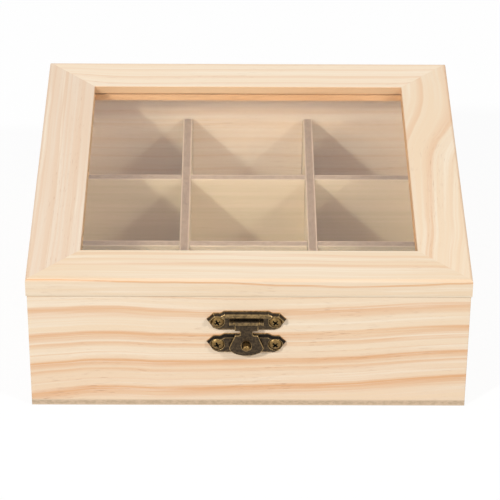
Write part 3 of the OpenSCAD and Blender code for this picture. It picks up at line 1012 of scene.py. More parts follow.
LEVEL = Bend(((-112, 0), (112, 0)))
BOARD = (0.0, 70.0)  # height of the box's walls that a board's rings fill, in millimetres
PINE_OF_SIDE = {
    "front": Pine(
        "Pine of the front",
        Lie.FRONT,
        rings(
            (6.6, 8.0, 1.0), (14.6, 1.0, 0.38), (20.2, 3.0, 0.66), (24.8, 5.2, 0.96), (31.0, 0.8, 0.38),
            (36.4, 3.2, 0.66), (41.6, 6.2, 0.9), (56.4, 7.6, 0.77), (66.6, 1.2, 0.43), (70.6, 1.0, 0.48),
        ),
        Bend((
            (-108, -1.6), (-92, 1.0), (-76, 2.6), (-60, 2.4), (-44, 2.1),
            (-20, 3.2), (10, 4.6), (45, 5.9), (75, 9.1), (108, 12.8),
        )),
        Bend((
            (-108, 0.4), (-90, 1.2), (-68, 1.5), (-44, 0.1), (-19, -1.2),
            (20, -1.0), (47, 0.6), (80, 2.9), (108, 3.9),
        )),
        BOARD,
        face=-105.5,
        haze=0.17,
    ),
    "back": Pine(
        "Pine of the back",
        Lie.FRONT,
        rings(
            (7.0, 2.0, 0.57), (15.5, 1.4, 0.57), (22.0, 3.0, 0.66), (31.0, 1.6, 0.62),
            (36.5, 1.0, 0.57), (42.0, 2.4, 0.53), (52.0, 2.0, 0.57), (60.0, 3.2, 0.62),
        ),
        Bend(((-108, 2), (-60, 0), (0, 1.5), (50, 0.5), (108, 3))),
        LEVEL,
        BOARD,
        face=105.5,
        seed=5.3,
    ),
    "left": Pine(
        "Pine of the left side",
        Lie.SIDE,
        rings(
            (6.0, 2.4, 0.57), (14.0, 1.2, 0.57), (20.0, 2.8, 0.66), (29.0, 1.8, 0.57),
            (39.0, 2.6, 0.66), (51.0, 1.4, 0.48), (58.0, 2.6, 0.66),
        ),
        Bend(((-108, 0), (-50, 3), (10, 1), (108, 5))),
        LEVEL,
        BOARD,
        face=-109.5,
        seed=9.1,
    ),
    "right": Pine(
        "Pine of the right side",
        Lie.SIDE,
        rings(
            (8.0, 2.8, 0.66), (17.0, 1.6, 0.57), (27.0, 3.2, 0.66), (37.0, 1.2, 0.48),
            (47.0, 2.0, 0.57), (56.0, 2.8, 0.66), (63.0, 1.2, 0.48),
        ),
        Bend(((-108, 4), (-40, 1), (30, 2.5), (108, 0))),
        LEVEL,
        BOARD,
        face=109.5,
        seed=13.7,
    ),
}


def case_seam() -> Callable[[Vector], bool]:
    """Test for the edges where two boards of the case or of the lid lie flush.

    Returns:
        A function that takes the middle of an edge.
    """
    half_w, half_d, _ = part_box("base_panel")[1]
    levels = (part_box("body_front_board")[1].z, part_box("lid_front_rail")[0].z)
    near = 0.05 * MM

    def seam(middle: Vector) -> bool:
        on_side = abs(middle.x) > half_w - near
        on_front = abs(middle.y) > half_d - near
        joint = on_side != on_front and middle.z > near
        return joint or any(abs(middle.z - level) < near for level in levels)

    return seam


def sand_boards(nodes: str, body: str, arris: float, timber: Timber) -> None:
    """Makes the four boards of one height.

    Args:
        nodes: Their nodes' name, with braces for the side.
        body: The body that they are part of.
        arris: Width of the round on their edges.
        timber: The shared groups.
    """
    for side, pine in PINE_OF_SIDE.items():
        node = nodes.format(side)
        made = softened(node, arris, case_seam(), shortest=MM)
        hand_over(made, Piece("sanded", node, body, "pine"), pine.material(timber))


@dataclass(frozen=True)
class WoodenCase:
    """The four walls and the base of the case.

    Attributes:
        arris: Width of the round on the boards' edges.
        half_core: Half the thickness of the base's core.
        cut: Colours of the base's edge.
        face: Colour of the base's face.
    """

    arris: float = 0.35 * MM
    half_core: float = 1.2 * MM
    cut: CutEdge = CutEdge(tone(213, 188, 160), tone(191, 168, 140), tone(222, 198, 169))
    face: Colour = tone(221, 201, 170)

    def build(self, timber: Timber) -> None:
        """Makes the boards and the base.

        Args:
            timber: The shared groups.
        """
        sand_boards("body_{}_board", "body", self.arris, timber)
        low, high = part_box("base_panel")
        made = softened("base_panel", self.arris / 2, case_seam())
        panel = Panel("Base plywood", 0, 2, (low.z + high.z) / 2, self.half_core, self.cut, self.face)
        hand_over(made, Piece("sanded", "base_panel", "body", "plywood"), panel.material(timber))


@dataclass(frozen=True)
class DividerGrid:
    """The four halved panels that part the case.

    Attributes:
        arris: Width of the round on the panels' edges.
        half_core: Half the thickness of a panel's core.
        long_edge: Edge of the panels that run from front to back.
        cross_edge: Edge of the panels that run from side to side.
    """

    arris: float = 0.3 * MM
    half_core: float = 1.75 * MM
    long_edge: CutEdge = CutEdge(tone(150, 129, 107), tone(169, 148, 125), tone(202, 183, 158))
    cross_edge: CutEdge = CutEdge(tone(167, 148, 126), tone(184, 165, 141), tone(205, 186, 162))

    def build(self, timber: Timber) -> None:
        """Makes the panels.

        Args:
            timber: The shared groups.
        """
        for index, place in enumerate(("left", "right", "front", "back")):
            node = "divider_" + place
            grain, cut = (1, self.long_edge) if place in ("left", "right") else (0, self.cross_edge)
            thin = 1 - grain
            low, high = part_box(node)
            middle = (low[thin] + high[thin]) / 2
            panel = Panel("Plywood of " + node, grain, thin, middle, self.half_core, cut, seed=3.7 * index)
            made = softened(node, self.arris)
            hand_over(made, Piece("sanded", node, "body", "divider_board"), panel.material(timber))


@dataclass(frozen=True)
class RailSection:
    """Section of a frame rail, in millimetres from its outer edge and its foot.

    Attributes:
        outer_round: Radius of the outer top edge.
        arris: Radius of its other edges.
        groove_depth: Depth of the groove for the pane.
        pane_room: Room that the groove leaves above and below the pane.
    """

    outer_round: float = 1.6
    arris: float = 0.35
    groove_depth: float = 4.7
    pane_room: float = 0.03

    def outline(self, width: float, thickness: float, pane: tuple[float, float]) -> list[tuple[float, float]]:
        """The section's outline.

        Args:
            width: Width of the rail.
            thickness: Thickness of the rail.
            pane: Heights of the pane's lower and upper face over the rail's foot.

        Returns:
            The points, anticlockwise.
        """
        low, high = pane[0] - self.pane_room, pane[1] + self.pane_room
        back = width - self.groove_depth
        foot_arris, lip_arris = self.arris / 4, self.arris / 2
        return filleted([
            (0, 0, foot_arris),
            (width, 0, foot_arris),
            (width, low, lip_arris),
            (back, low, 0),
            (back, high, 0),
            (width, high, lip_arris),
            (width, thickness, self.arris),
            (0, thickness, self.outer_round),
        ])

    @staticmethod
    def tree() -> bpy.types.NodeTree:
        """The tree that runs a section along a rail and cuts both ends to a mitre.

        Returns:
            The tree. It takes the section as a loop of edges.
        """
        graph, given, made = new_group(
            "Mitred Rail",
            {
                "Section": ("Geometry", None),
                "Length": ("Float", 220.0),
                "Turn": ("Float", 0.0),
                "Place": ("Vector", None),
                "Finish": ("Material", None),
            },
            {"Rail": "Geometry"},
            kind="GeometryNodeTree",
        )
        half = graph.times(given["Length"], 0.5)
        start = graph.put("CombineXYZ", {"Z": graph.times(half, -1.0)})
        end = graph.put("CombineXYZ", {"Z": half})
        path = graph.put("GeometryNodeCurvePrimitiveLine", {"Start": start, "End": end})
        profile = graph.put("GeometryNodeMeshToCurve", {"Mesh": given["Section"]})
        swept = {"Curve": path, "Profile Curve": profile, "Fill Caps": True}
        bar = graph.put("GeometryNodeCurveToMesh", swept)
        axes = graph.axes(graph.put("GeometryNodeInputPosition"))
        shorter = graph.minus(1.0, graph.math("DIVIDE", axes["X"], half))
        place = {"X": graph.times(axes["Z"], shorter), "Y": axes["X"], "Z": axes["Y"]}
        mitred = {"Geometry": bar, "Position": graph.put("CombineXYZ", place)}
        cut = graph.put("GeometryNodeSetPosition", mitred)
        turn = graph.put("CombineXYZ", {"Z": given["Turn"]})
        laid = {"Geometry": cut, "Translation": given["Place"], "Rotation": turn}
        graph.close(made["Rail"], graph.put("GeometryNodeTransform", laid), given["Finish"])
        return graph.tree


# For each side its pine, the way from the middle of the lid to it, and its turn in quarters.
RAIL_OF_SIDE = {
    "front": (
        Pine(
            "Pine of the front rail",
            Lie.FLAT_WIDE,
            rings((-84.0, 2.6, 0.36), (-88.6, 1.2, 0.28), (-92.4, 3.4, 0.48), (-107.0, 0.9, 1.0)),
            Bend((
                (-112, 1.8), (-84, 0.7), (-64, 0.1), (-29, -0.3), (4, -1.0),
                (36, -1.9), (66, -1.5), (91, -0.7), (104, 0.7), (112, 1.8),
            )),
            Bend(((-112, -3.0), (-90, 0), (0, 0), (60, -1.5), (90, -2.5), (104, -8), (112, -13))),
            (-110.0, -78.0),
            face=77.5,
            lean=-0.7,
            cut_side=1,
            pale=tone(239, 219, 193),
            warm=tone(238, 211, 177),
            seed=2.9,
        ),
        (0, -1),
        0,
    ),
    "back": (
        Pine(
            "Pine of the back rail",
            Lie.FLAT_WIDE,
            rings((83.0, 2.6, 0.3), (90.0, 3.4, 0.36), (98.0, 2.2, 0.28), (103.5, 1.6, 0.33)),
            Bend(((-112, 7), (-95, 5), (-75, 0.5), (-40, 0), (20, 1.5), (60, 0), (112, 4))),
            LEVEL,
            (78.0, 108.0),
            face=77.5,
            cut_side=-1,
            pale=tone(248, 232, 209),
            warm=tone(246, 223, 195),
            seed=7.7,
        ),
        (0, 1),
        2,
    ),
    "left": (
        Pine(
            "Pine of the left rail",
            Lie.FLAT_DEEP,
            rings((-91.0, 4.6, 0.38), (-97.4, 1.2, 0.28), (-101.0, 4.0, 0.4), (-107.5, 2.0, 0.38)),
            Bend(((-112, -1.5), (-40, 0), (30, 0.5), (112, 1.5))),
            LEVEL,
            (-112.0, -82.0),
            face=77.5,
            cut_side=1,
            pale=tone(237, 217, 195),
            warm=tone(235, 208, 181),
            late=tone(224, 178, 136),
            seed=11.3,
        ),
        (-1, 0),
        -1,
    ),
    "right": (
        Pine(
            "Pine of the right rail",
            Lie.FLAT_DEEP,
            rings((91.4, 5.6, 0.5), (81.0, 2.6, 0.42), (102.5, 2.2, 0.16), (107.0, 1.4, 0.2)),
            Bend((
                (-112, -3.0), (-84, -2.0), (-55, 0), (0, 0), (21, 0.2),
                (36, 1.4), (57, 4.3), (71, 6.1), (112, 5.5),
            )),
            Bend((
                (-112, -6), (-84, -2.7), (-62, 0.3), (-33, 1.5), (7, 5.7),
                (21, 9.8), (37, 15), (57, 19), (112, 18),
            )),
            (76.0, 112.0),
            face=77.5,
            cut_side=-1,
            seed=17.9,
        ),
        (1, 0),
        1,
    ),
}


@dataclass(frozen=True)
class WindowLid:
    """The window frame, its pane and the boards under it.

    Attributes:
        arris: Width of the round on the boards' edges.
        section: Section of the rails.
        sharp: Angle in degrees from which a rail's edge stays sharp.
    """

    arris: float = 0.35 * MM
    section: RailSection = RailSection()
    sharp: float = 30.0

    def build(self, timber: Timber) -> None:
        """Makes the rails and boards, and gives the pane its finish.

        Args:
            timber: The shared groups.
        """
        sand_boards("lid_{}_skirt", "lid", self.arris, timber)
        tree = self.section.tree()
        for side in RAIL_OF_SIDE:
            self.build_rail(side, tree, timber)
        keep_node("window_pane", ClearPane().material(), "pane")

    def build_rail(self, side: str, tree: bpy.types.NodeTree, timber: Timber) -> None:
        """Runs one rail along its side of the frame.

        Args:
            side: The side.
            tree: The rails' tree.
            timber: The shared groups.
        """
        pine, (way_x, way_y), quarters = RAIL_OF_SIDE[side]
        node = f"lid_{side}_rail"
        low, high = (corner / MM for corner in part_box(node))
        size = high - low
        width = min(size.x, size.y)
        pane = tuple(corner.z / MM - low.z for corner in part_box("window_pane"))
        outline = self.section.outline(width, size.z, pane)
        count = len(outline)
        loop = bpy.data.meshes.new(node)
        loop.from_pydata([(x, y, 0) for x, y in outline], [(i, (i + 1) % count) for i in range(count)], [])
        made = linked(node, loop)
        finish = pine.material(timber)
        outer = (low.x if way_x < 0 else high.x, low.y if way_y < 0 else high.y)
        grow(made, tree, {
            "Length": max(size.x, size.y),
            "Turn": math.radians(90 * quarters),
            "Place": (outer[0] * abs(way_x), outer[1] * abs(way_y), low.z),
            "Finish": finish,
        })
        made.data.transform(Matrix.Scale(MM, 4))
        smooth(made.data, self.sharp)
        made.modifiers.new("even", "WEIGHTED_NORMAL").keep_sharp = True
        hand_over(settled(made), Piece("mitred", node, "lid", "pine"), finish)


# ---- Clasp and hinges -----------------------------------------------------

Span = tuple[Vector, Vector]


@dataclass(frozen=True)
class FittingPlane:
    """Outer face of a board that fittings lie on, in millimetres: x along it, y up from the seam, z out.

    Attributes:
        board: The case board below the seam.
        facing: 1 for the front and -1 for the back.
    """

    board: str
    facing: int

    def matrix(self) -> Matrix:
        """From the plane's millimetres to the frame's metres."""
        low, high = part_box(self.board)
        wood = low.y if self.facing > 0 else high.y
        run = self.facing * MM
        return Matrix(((run, 0, 0, 0), (0, 0, -run, wood), (0, MM, 0, high.z), (0, 0, 0, 1)))

    def span(self, node: str) -> Span:
        """Lowest and highest corner of a node, in the plane's millimetres."""
        inverse = self.matrix().inverted()
        first, second = (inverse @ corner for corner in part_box(node))
        return Vector(map(min, first, second)), Vector(map(max, first, second))


FRONT_PLANE = FittingPlane("body_front_board", 1)
BACK_PLANE = FittingPlane("body_back_board", -1)


def filleted(corners: list[tuple[float, float, float]], steps: int = 5) -> list[tuple[float, float]]:
    """A closed outline with its corners rounded.

    Args:
        corners: For each corner its x, its y and the radius of its round.
        steps: Steps round a corner.

    Returns:
        The outline's points.
    """
    line = []
    for index, (x, y, radius) in enumerate(corners):
        here = Vector((x, y))
        before = (Vector(corners[index - 1][:2]) - here).normalized()
        after = (Vector(corners[(index + 1) % len(corners)][:2]) - here).normalized()
        half = before.angle(after) / 2
        if radius == 0 or half > math.radians(89):
            line.append((x, y))
            continue
        centre = here + (before + after).normalized() * (radius / math.sin(half))
        reach = radius / math.tan(half)
        first, last = here + before * reach - centre, here + after * reach - centre
        turn = first.angle_signed(last)
        for step in range(steps + 1):
            angle = -turn * step / steps
            turned = Matrix.Rotation(angle, 2) @ first
            line.append(tuple(centre + turned))
    return line


def centred(span: Span) -> tuple[Vector, float, float]:
    """Middle of a span, and half its width and height."""
    low, high = span
    return (low + high) / 2, (high.x - low.x) / 2, (high.y - low.y) / 2


def diced(made: bpy.types.Object, grain: float = 0.4) -> bpy.types.Object:
    """Cuts an object's faces along a grid, so that its points can carry its wear.

    Args:
        made: The object.
        grain: Distance between the cuts, in the object's own units.

    Returns:
        The same object.
    """
    mesh = bmesh.new()
    mesh.from_mesh(made.data)
    for axis, normal in enumerate(Matrix.Identity(3)):
        low, high = (limit(vert.co[axis] for vert in mesh.verts) for limit in (min, max))
        for step in range(1, math.ceil((high - low) / grain)):
            geometry = mesh.verts[:] + mesh.edges[:] + mesh.faces[:]
            cut = normal * (low + step * grain)
            bmesh.ops.bisect_plane(mesh, geom=geometry, dist=grain / 400, plane_co=cut, plane_no=normal)
    mesh.to_mesh(made.data)
    mesh.free()
    return made


def sheet_metal(outlines: list[list[tuple[float, float]]], thickness: float, rim: float) -> bmesh.types.BMesh:
    """A flat sheet cut to outlines, with its rims rounded over.

    Args:
        outlines: The outer outline, then those of its holes.
        thickness: The sheet's thickness.
        rim: Radius of the round at its rims.

    Returns:
        The mesh, centred on z = 0.
    """
    curve = bpy.data.curves.new("cut_sheet", "CURVE")
    curve.dimensions = "2D"
    curve.fill_mode = "BOTH"
    curve.extrude = thickness / 2 - rim
    curve.bevel_depth = rim
    curve.bevel_resolution = 2
    curve.offset = -rim
    for outline in outlines:
        spline = curve.splines.new("POLY")
        spline.points.add(len(outline) - 1)
        for point, (x, y) in zip(spline.points, outline):
            point.co = (x, y, 0, 1)
        spline.use_cyclic_u = True
    host = linked("cut_sheet", curve)
    flat = realised(host)
    bpy.data.objects.remove(host)
    bpy.data.curves.remove(curve)
    mesh = bmesh.new()
    mesh.from_mesh(flat)
    bpy.data.meshes.remove(flat)
    bmesh.ops.remove_doubles(mesh, verts=mesh.verts, dist=0.0005)
    bmesh.ops.recalc_face_normals(mesh, faces=mesh.faces)
    return mesh


def block(low: tuple[float, float, float], high: tuple[float, float, float]) -> bmesh.types.BMesh:
    """A box between two corners."""
    mesh = bmesh.new()
    bmesh.ops.create_cube(mesh, size=1.0)
    size = Vector(high) - Vector(low)
    for vert in mesh.verts:
        vert.co = Vector(low) + Vector([size[i] * (vert.co[i] + 0.5) for i in range(3)])
    return mesh


@dataclass(frozen=True)
class StampedPlate:
    """One of the two pressed plates, in millimetres from its middle.

    Attributes:
        face: Height of the crest over the wood.
        band: Width of the raised band below the crest, or 0 where the face is level.
        flat: Height of the face below the band.
        top_w: Width of the straight top edge.
        step_w: Width at the foot of the curves beside it.
        shoulder_w: Width over the shoulders.
        shoulder_drop: Drop from the top edge to the shoulders.
        tip_rise: Height of the pointed ends over the middle.
        foot_w: Width of the straight bottom edge.
        corner_w: Width where the lower slopes meet the corner cuts.
        corner_h: Height of the corner cuts.
        upper_slope: Width of the pressed slope along the top.
        lower_slope: Width of the slope along the foot.
        rim: Height of the rim's edge over the wood.
        screw_pitch: Distance between the screws.
        screw_drop: Drop of the screws below the middle.
        pocket_r: Radius of the sunk round about a screw.
        seat: Height of its floor over the wood.
        slope_grime: Painted shade on the slope along the top, standing for its dark reflection.
        crest_wear_and_sheen: Wear along the crest, with a painted highlight line.
        crowding: How much closer the mesh's columns stand at the pointed ends, from 0 to 1.
    """

    face: float
    band: float = 0.0
    flat: float = 1.0
    top_w: float = 21.6
    step_w: float = 26.6
    shoulder_w: float = 33.0
    shoulder_drop: float = 1.2
    tip_rise: float = 0.9
    foot_w: float = 28.4
    corner_w: float = 33.2
    corner_h: float = 1.2
    upper_slope: float = 1.9
    lower_slope: float = 0.7
    rim: float = 0.5
    screw_pitch: float = 28.8
    screw_drop: float = 0.5
    pocket_r: float = 3.4
    seat: float = 0.8
    slope_grime: float = 0.6
    crest_wear_and_sheen: float = 0.45
    crowding: float = 0.2

    def upper(self, x: float, half_w: float, half_h: float) -> float:
        """Height of the outline's upper side at x."""
        x = abs(x)
        shoulder = half_h - self.shoulder_drop
        if x <= self.step_w / 2:
            return half_h - self.shoulder_drop * eased(x, self.top_w / 2, self.step_w / 2)
        if x <= self.shoulder_w / 2:
            return shoulder
        share = min((x - self.shoulder_w / 2) / (half_w - self.shoulder_w / 2), 1.0)
        return shoulder + (self.tip_rise - shoulder) * share**0.85

    def lower(self, x: float, half_w: float, half_h: float) -> float:
        """Height of the outline's lower side at x."""
        x = abs(x)
        corner = self.corner_h - half_h
        if x <= self.foot_w / 2:
            return -half_h
        if x <= self.corner_w / 2:
            return -half_h + self.corner_h * (x - self.foot_w / 2) / (self.corner_w - self.foot_w) * 2
        share = min((x - self.corner_w / 2) / (half_w - self.corner_w / 2), 1.0)
        return corner + (self.tip_rise - corner) * share

    def height(self, x: float, y: float, above: float, below: float) -> float:
        """Height of the plate over the wood.

        Args:
            x: Place across, from the middle.
            y: Place up, from the middle.
            above: Distance to the outline's upper side.
            below: Distance to its lower side.

        Returns:
            The height.
        """
        slope = min(above / self.upper_slope, below / self.lower_slope, 1.0)
        crest = self.rim + (self.face - self.rim) * slope
        if self.band:
            drop = eased(above, self.upper_slope + self.band - 0.3, self.upper_slope + self.band + 0.3)
            flat = self.rim + (self.flat - self.rim) * slope
        else:
            drop = eased(above, self.upper_slope, self.upper_slope + 0.5)
            flat = min(crest, self.face - 0.3)
        level = crest + (min(crest, flat) - crest) * drop
        from_screw = math.hypot(abs(x) - self.screw_pitch / 2, y + self.screw_drop)
        sunk = 1 - eased(from_screw, self.pocket_r - 0.15, self.pocket_r + 0.15)
        return level + (min(level, self.seat) - level) * sunk

    def ridge(self, height: float) -> float:
        """Least wear at a height over the wood: wear and a painted highlight along the crest."""
        risen = eased(height, self.face - 0.3, self.face - 0.05)
        return self.crest_wear_and_sheen * risen * (1 - eased(height, self.face, self.face + 0.2))

    def painted_shade(self, span: Span) -> Share:
        """Painted shade on the pressed slope along the top, standing for its dark reflection.

        Args:
            span: The node's corners.

        Returns:
            A function that gives a point's least painted shade.
        """
        middle, half_w, half_h = centred(span)

        def grime(point: Vector) -> float:
            below = self.upper(point.x - middle.x, half_w, half_h) - (point.y - middle.y)
            edge = eased(below, 0.2, 0.5) * (1 - eased(below, 0.8 * self.upper_slope, self.upper_slope))
            return self.slope_grime * edge

        return grime

    def mesh(self, span: Span, columns: int = 240, lanes: int = 70) -> bmesh.types.BMesh:
        """The plate, as wide and as high as its node.

        Args:
            span: The node's corners.
            columns: Steps across.
            lanes: Steps up.

        Returns:
            The closed mesh.
        """
        middle, half_w, half_h = centred(span)
        fine = np.linspace(-half_w, half_w, 6 * columns + 1)
        sides = [np.array([edge(x, half_w, half_h) for x in fine]) for edge in (self.upper, self.lower)]
        rows = []
        for j in range(lanes + 1):
            row = []
            for i in range(columns + 1):
                even, gathered = 2 * i / columns - 1, math.cos(math.pi * i / columns)
                x = half_w * ((1 - self.crowding) * even - self.crowding * gathered)
                top, foot = self.upper(x, half_w, half_h), self.lower(x, half_w, half_h)
                y = foot + (top - foot) * j / lanes
                above, below = (float(np.hypot(fine - x, side - y).min()) for side in sides)
                on_rim = j in (0, lanes) or i in (0, columns)
                level = self.rim if on_rim else self.height(x, y, above, below)
                row.append(Vector((middle.x + x, middle.y + y, level)))
            rows.append(row)
        return closed_grid(rows, lambda point: Vector((point.x, point.y, 0)))


@dataclass(frozen=True)
class HaspShape:
    """The swinging hasp, in millimetres down from its pin.

    Attributes:
        barrel_r: Radius of the rolled barrel.
        bore_r: Radius of its bore.
        barrel_l: Length of the barrel.
        sheet: Thickness of the sheet.
        web_h: How far the sheet reaches down at the barrel's width.
        neck_w: Width of the neck.
        shield_top: Where the shield begins.
        shield_top_w: Its width there.
        shield_w: Its width where it is widest.
        shield_side: Where it is widest.
        shield_end: Its lowest point.
        hole_r: Radius of the hole's round ends.
        hole_top: Top of the hole.
        hole_foot: Bottom of the hole.
        rim: Radius of the worn round at its edges.
        arc_steps: Steps in a quarter of the shield's foot, which is half an ellipse.
    """

    barrel_r: float = 1.3
    bore_r: float = 0.65
    barrel_l: float = 11.7
    sheet: float = 1.2
    web_h: float = 4.3
    neck_w: float = 6.4
    shield_top: float = 7.1
    shield_top_w: float = 11.4
    shield_w: float = 17.2
    shield_side: float = 14.6
    shield_end: float = 19.5
    hole_r: float = 2.3
    hole_top: float = 10.6
    hole_foot: float = 16.1
    rim: float = 0.3
    arc_steps: int = 14

    def outline(self) -> list[tuple[float, float]]:
        """The sheet's outer outline, with the pin on y = 0."""
        rise = self.shield_end - self.shield_side
        side = [
            (self.barrel_l / 2, 0.0, 0.0),
            (self.barrel_l / 2, -self.web_h, 0.5),
            (self.neck_w / 2, -self.web_h, 0.6),
            (self.neck_w / 2, -self.shield_top, 0.6),
            (self.shield_top_w / 2, -self.shield_top, 0.5),
            (self.shield_w / 2, -self.shield_side, 1.2),
        ]
        for step in range(1, self.arc_steps):
            angle = math.pi / 2 * step / self.arc_steps
            x, y = self.shield_w / 2 * math.cos(angle), -self.shield_side - rise * math.sin(angle)
            side.append((x, y, 0.0))
        foot = [(0.0, -self.shield_end, 0.0)]
        return filleted(side + foot + [(-x, y, radius) for x, y, radius in side[::-1]])

    def hole(self) -> list[tuple[float, float]]:
        """The hole's outline."""
        upper, lower = -self.hole_top - self.hole_r, self.hole_r - self.hole_foot
        steps = 16
        turns = [math.pi * step / steps for step in range(steps + 1)]
        line = [(self.hole_r * math.cos(a), upper + self.hole_r * math.sin(a)) for a in turns]
        return line + [(-self.hole_r * math.cos(a), lower - self.hole_r * math.sin(a)) for a in turns]

    def build(self, middle: float, height: float, out: float) -> bpy.types.Object:
        """The hasp with its barrel.

        Args:
            middle: Place of its middle across.
            height: Height of its pin.
            out: Distance of its pin from the wood.

        Returns:
            The object, still in millimetres.
        """
        half = Vector((self.barrel_l / 2, 0, 0))
        made = new_object("hasp_sheet", sheet_metal([self.outline(), self.hole()], self.sheet, self.rim))
        barrel = new_object("hasp_barrel", tube(self.barrel_r, 0, -half, half))
        bore = new_object("hasp_bore", tube(self.bore_r, 0, -1.2 * half, 1.2 * half, sides=32))
        made = diced(fused(fused(made, [barrel]), [bore], "DIFFERENCE"))
        made.data.transform(Matrix.Translation((middle, height, out)))
        return made


@dataclass(frozen=True)
class CrossScrew:
    """A domed screw with a cross recess, in millimetres.

    Attributes:
        head_d: Diameter of the head.
        head_h: Height of the head.
        core_d: Diameter of the core.
        length: Length under the head.
        recess_l: Length of the recess's arms.
        recess_w: Width of the recess's arms.
        recess_depth: Depth of the recess.
        rim_h: Height of the head's upright rim.
    """

    head_d: float
    head_h: float
    core_d: float
    length: float
    recess_l: float = 3.4
    recess_w: float = 1.05
    recess_depth: float = 0.75
    rim_h: float = 0.25

    def tree(self, name: str) -> bpy.types.NodeTree:
        """The tree that stands a screw on each point of its geometry.

        Args:
            name: The tree's name.

        Returns:
            The tree.
        """
        graph, given, made = new_group(
            name,
            {
                "Places": ("Geometry", None),
                "Head Diameter": ("Float", self.head_d),
                "Head Height": ("Float", self.head_h),
                "Core Diameter": ("Float", self.core_d),
                "Length": ("Float", self.length),
                "Recess Length": ("Float", self.recess_l),
                "Recess Width": ("Float", self.recess_w),
                "Recess Depth": ("Float", self.recess_depth),
                "Rim Height": ("Float", self.rim_h),
                "Finish": ("Material", None),
            },
            {"Screws": "Geometry"},
            kind="GeometryNodeTree",
        )
        radius = graph.times(given["Head Diameter"], 0.5)
        domed = self.dome(graph, radius, given["Head Height"], given["Rim Height"])
        size = graph.put("CombineXYZ", {
            "X": given["Recess Length"],
            "Y": given["Recess Width"],
            "Z": graph.times(given["Recess Depth"], 2.0),
        })
        slot = graph.put("GeometryNodeMeshCube", {"Size": size})
        top = graph.put("CombineXYZ", {"Z": given["Head Height"]})
        arms = []
        for turn in (0.0, math.pi / 2):
            arm = {"Geometry": slot, "Translation": top, "Rotation": (0.0, 0.0, turn)}
            arms.append(graph.put("GeometryNodeTransform", arm))
        head = self.combined(graph, "DIFFERENCE", [domed, *arms])
        screw = self.combined(graph, "UNION", [head, *self.shank(graph, given)])
        turned = graph.put("GeometryNodeInputNamedAttribute", {"Name": "turned"}, data_type="FLOAT_VECTOR")
        stood = {"Points": given["Places"], "Instance": screw, "Rotation": turned}
        graph.close(made["Screws"], graph.put("GeometryNodeInstanceOnPoints", stood), given["Finish"])
        return graph.tree

    @staticmethod
    def combined(graph: Graph, operation: str, meshes: list[Socket]) -> Socket:
        """One solid from several: the first less the others, or all of them together."""
        node = graph.add("GeometryNodeMeshBoolean", operation=operation)
        cut = operation == "DIFFERENCE"
        if cut:
            graph.feed(node.inputs[0], meshes[0])
        for mesh in meshes[1:] if cut else meshes:
            graph.tree.links.new(mesh, node.inputs[1])
        return node.outputs[0]

    @staticmethod
    def dome(graph: Graph, radius: Value, height: Value, rim: Value) -> Socket:
        """A disc on z = 0 whose top is lifted to a dome with a low upright rim."""
        disc = graph.put(
            "GeometryNodeMeshCylinder",
            {"Vertices": 48, "Side Segments": 1, "Fill Segments": 12, "Radius": radius, "Depth": 1.0},
            fill_type="TRIANGLE_FAN",
        )
        axes = graph.axes(graph.put("GeometryNodeInputPosition"))
        reach = graph.plus(graph.times(axes["X"], axes["X"]), graph.times(axes["Y"], axes["Y"]))
        rise = graph.minus(height, rim)
        squared = graph.math("MULTIPLY_ADD", radius, radius, graph.times(rise, rise))
        ball = graph.math("DIVIDE", squared, graph.times(rise, 2.0))
        lift = graph.math("SQRT", graph.minus(graph.times(ball, ball), reach))
        top = graph.plus(graph.minus(height, ball), lift)
        level = graph.times(graph.math("GREATER_THAN", axes["Z"], 0.0), top)
        place = graph.put("CombineXYZ", {"X": axes["X"], "Y": axes["Y"], "Z": level})
        return graph.put("GeometryNodeSetPosition", {"Geometry": disc, "Position": place})

    @staticmethod
    def shank(graph: Graph, given: dict[str, Socket]) -> list[Socket]:
        """The core and its point, the core's end a little inside the head."""
        radius = graph.times(given["Core Diameter"], 0.5)
        run = graph.minus(given["Length"], given["Core Diameter"])
        sunk = 0.1
        bar = {"Vertices": 24, "Radius": radius, "Depth": graph.plus(run, sunk)}
        core = graph.put("GeometryNodeMeshCylinder", bar)
        down = graph.put("CombineXYZ", {"Z": graph.math("MULTIPLY_ADD", run, -0.5, sunk / 2)})
        point = graph.put("GeometryNodeMeshCone", {
            "Vertices": 24,
            "Radius Top": radius,
            "Radius Bottom": graph.times(radius, 0.12),
            "Depth": given["Core Diameter"],
        })
        tip = graph.put("CombineXYZ", {"Z": graph.times(given["Length"], -1.0)})
        return [
            graph.put("GeometryNodeTransform", {"Geometry": core, "Translation": down}),
            graph.put("GeometryNodeTransform", {"Geometry": point, "Translation": tip}),
        ]


@dataclass(frozen=True)
class ScrewRow:
    """Screws of one node: where they stand in the plane of their board, and how far each is turned."""

    node: str
    body: str
    places: tuple[tuple[float, float], ...]
    turns: tuple[float, ...]

    def build(
        self, tree: bpy.types.NodeTree, plane: FittingPlane, seat: float, brass: bpy.types.Material
    ) -> None:
        """Stands the screws on their places as one mesh.

        Args:
            tree: The screw's tree.
            plane: The face that they lie on.
            seat: Height of the underside of their heads over the wood.
            brass: Their finish.
        """
        host = bpy.data.meshes.new(self.node)
        host.from_pydata([(x, y, seat) for x, y in self.places], [], [])
        turned = host.attributes.new("turned", "FLOAT_VECTOR", "POINT")
        for item, turn in zip(turned.data, self.turns):
            item.vector = (0, 0, math.radians(turn))
        made = linked(self.node, host)
        grow(made, tree, {"Finish": brass})
        finish_metal(made, plane, DOMED_WEAR)
        hand_over(made, Piece("turned", self.node, self.body, "worn_brass"), brass)


def finish_metal(
    made: bpy.types.Object, plane: FittingPlane, wear: Wear, painted_shade: Share = nowhere, polish_and_sheen: Share = nowhere
) -> None:
    """Marks the wear of a piece in millimetres, then puts it in its place.

    Args:
        made: The object.
        plane: The face that it lies on.
        wear: The angles that wear.
        painted_shade: The least painted shade at a point, which goes into its grime.
        polish_and_sheen: The least wear at a point, which also carries painted highlight.
    """
    wear.mark(made.data, painted_shade, polish_and_sheen)
    made.data.transform(plane.matrix())
    smooth(made.data, METAL_SHARP)


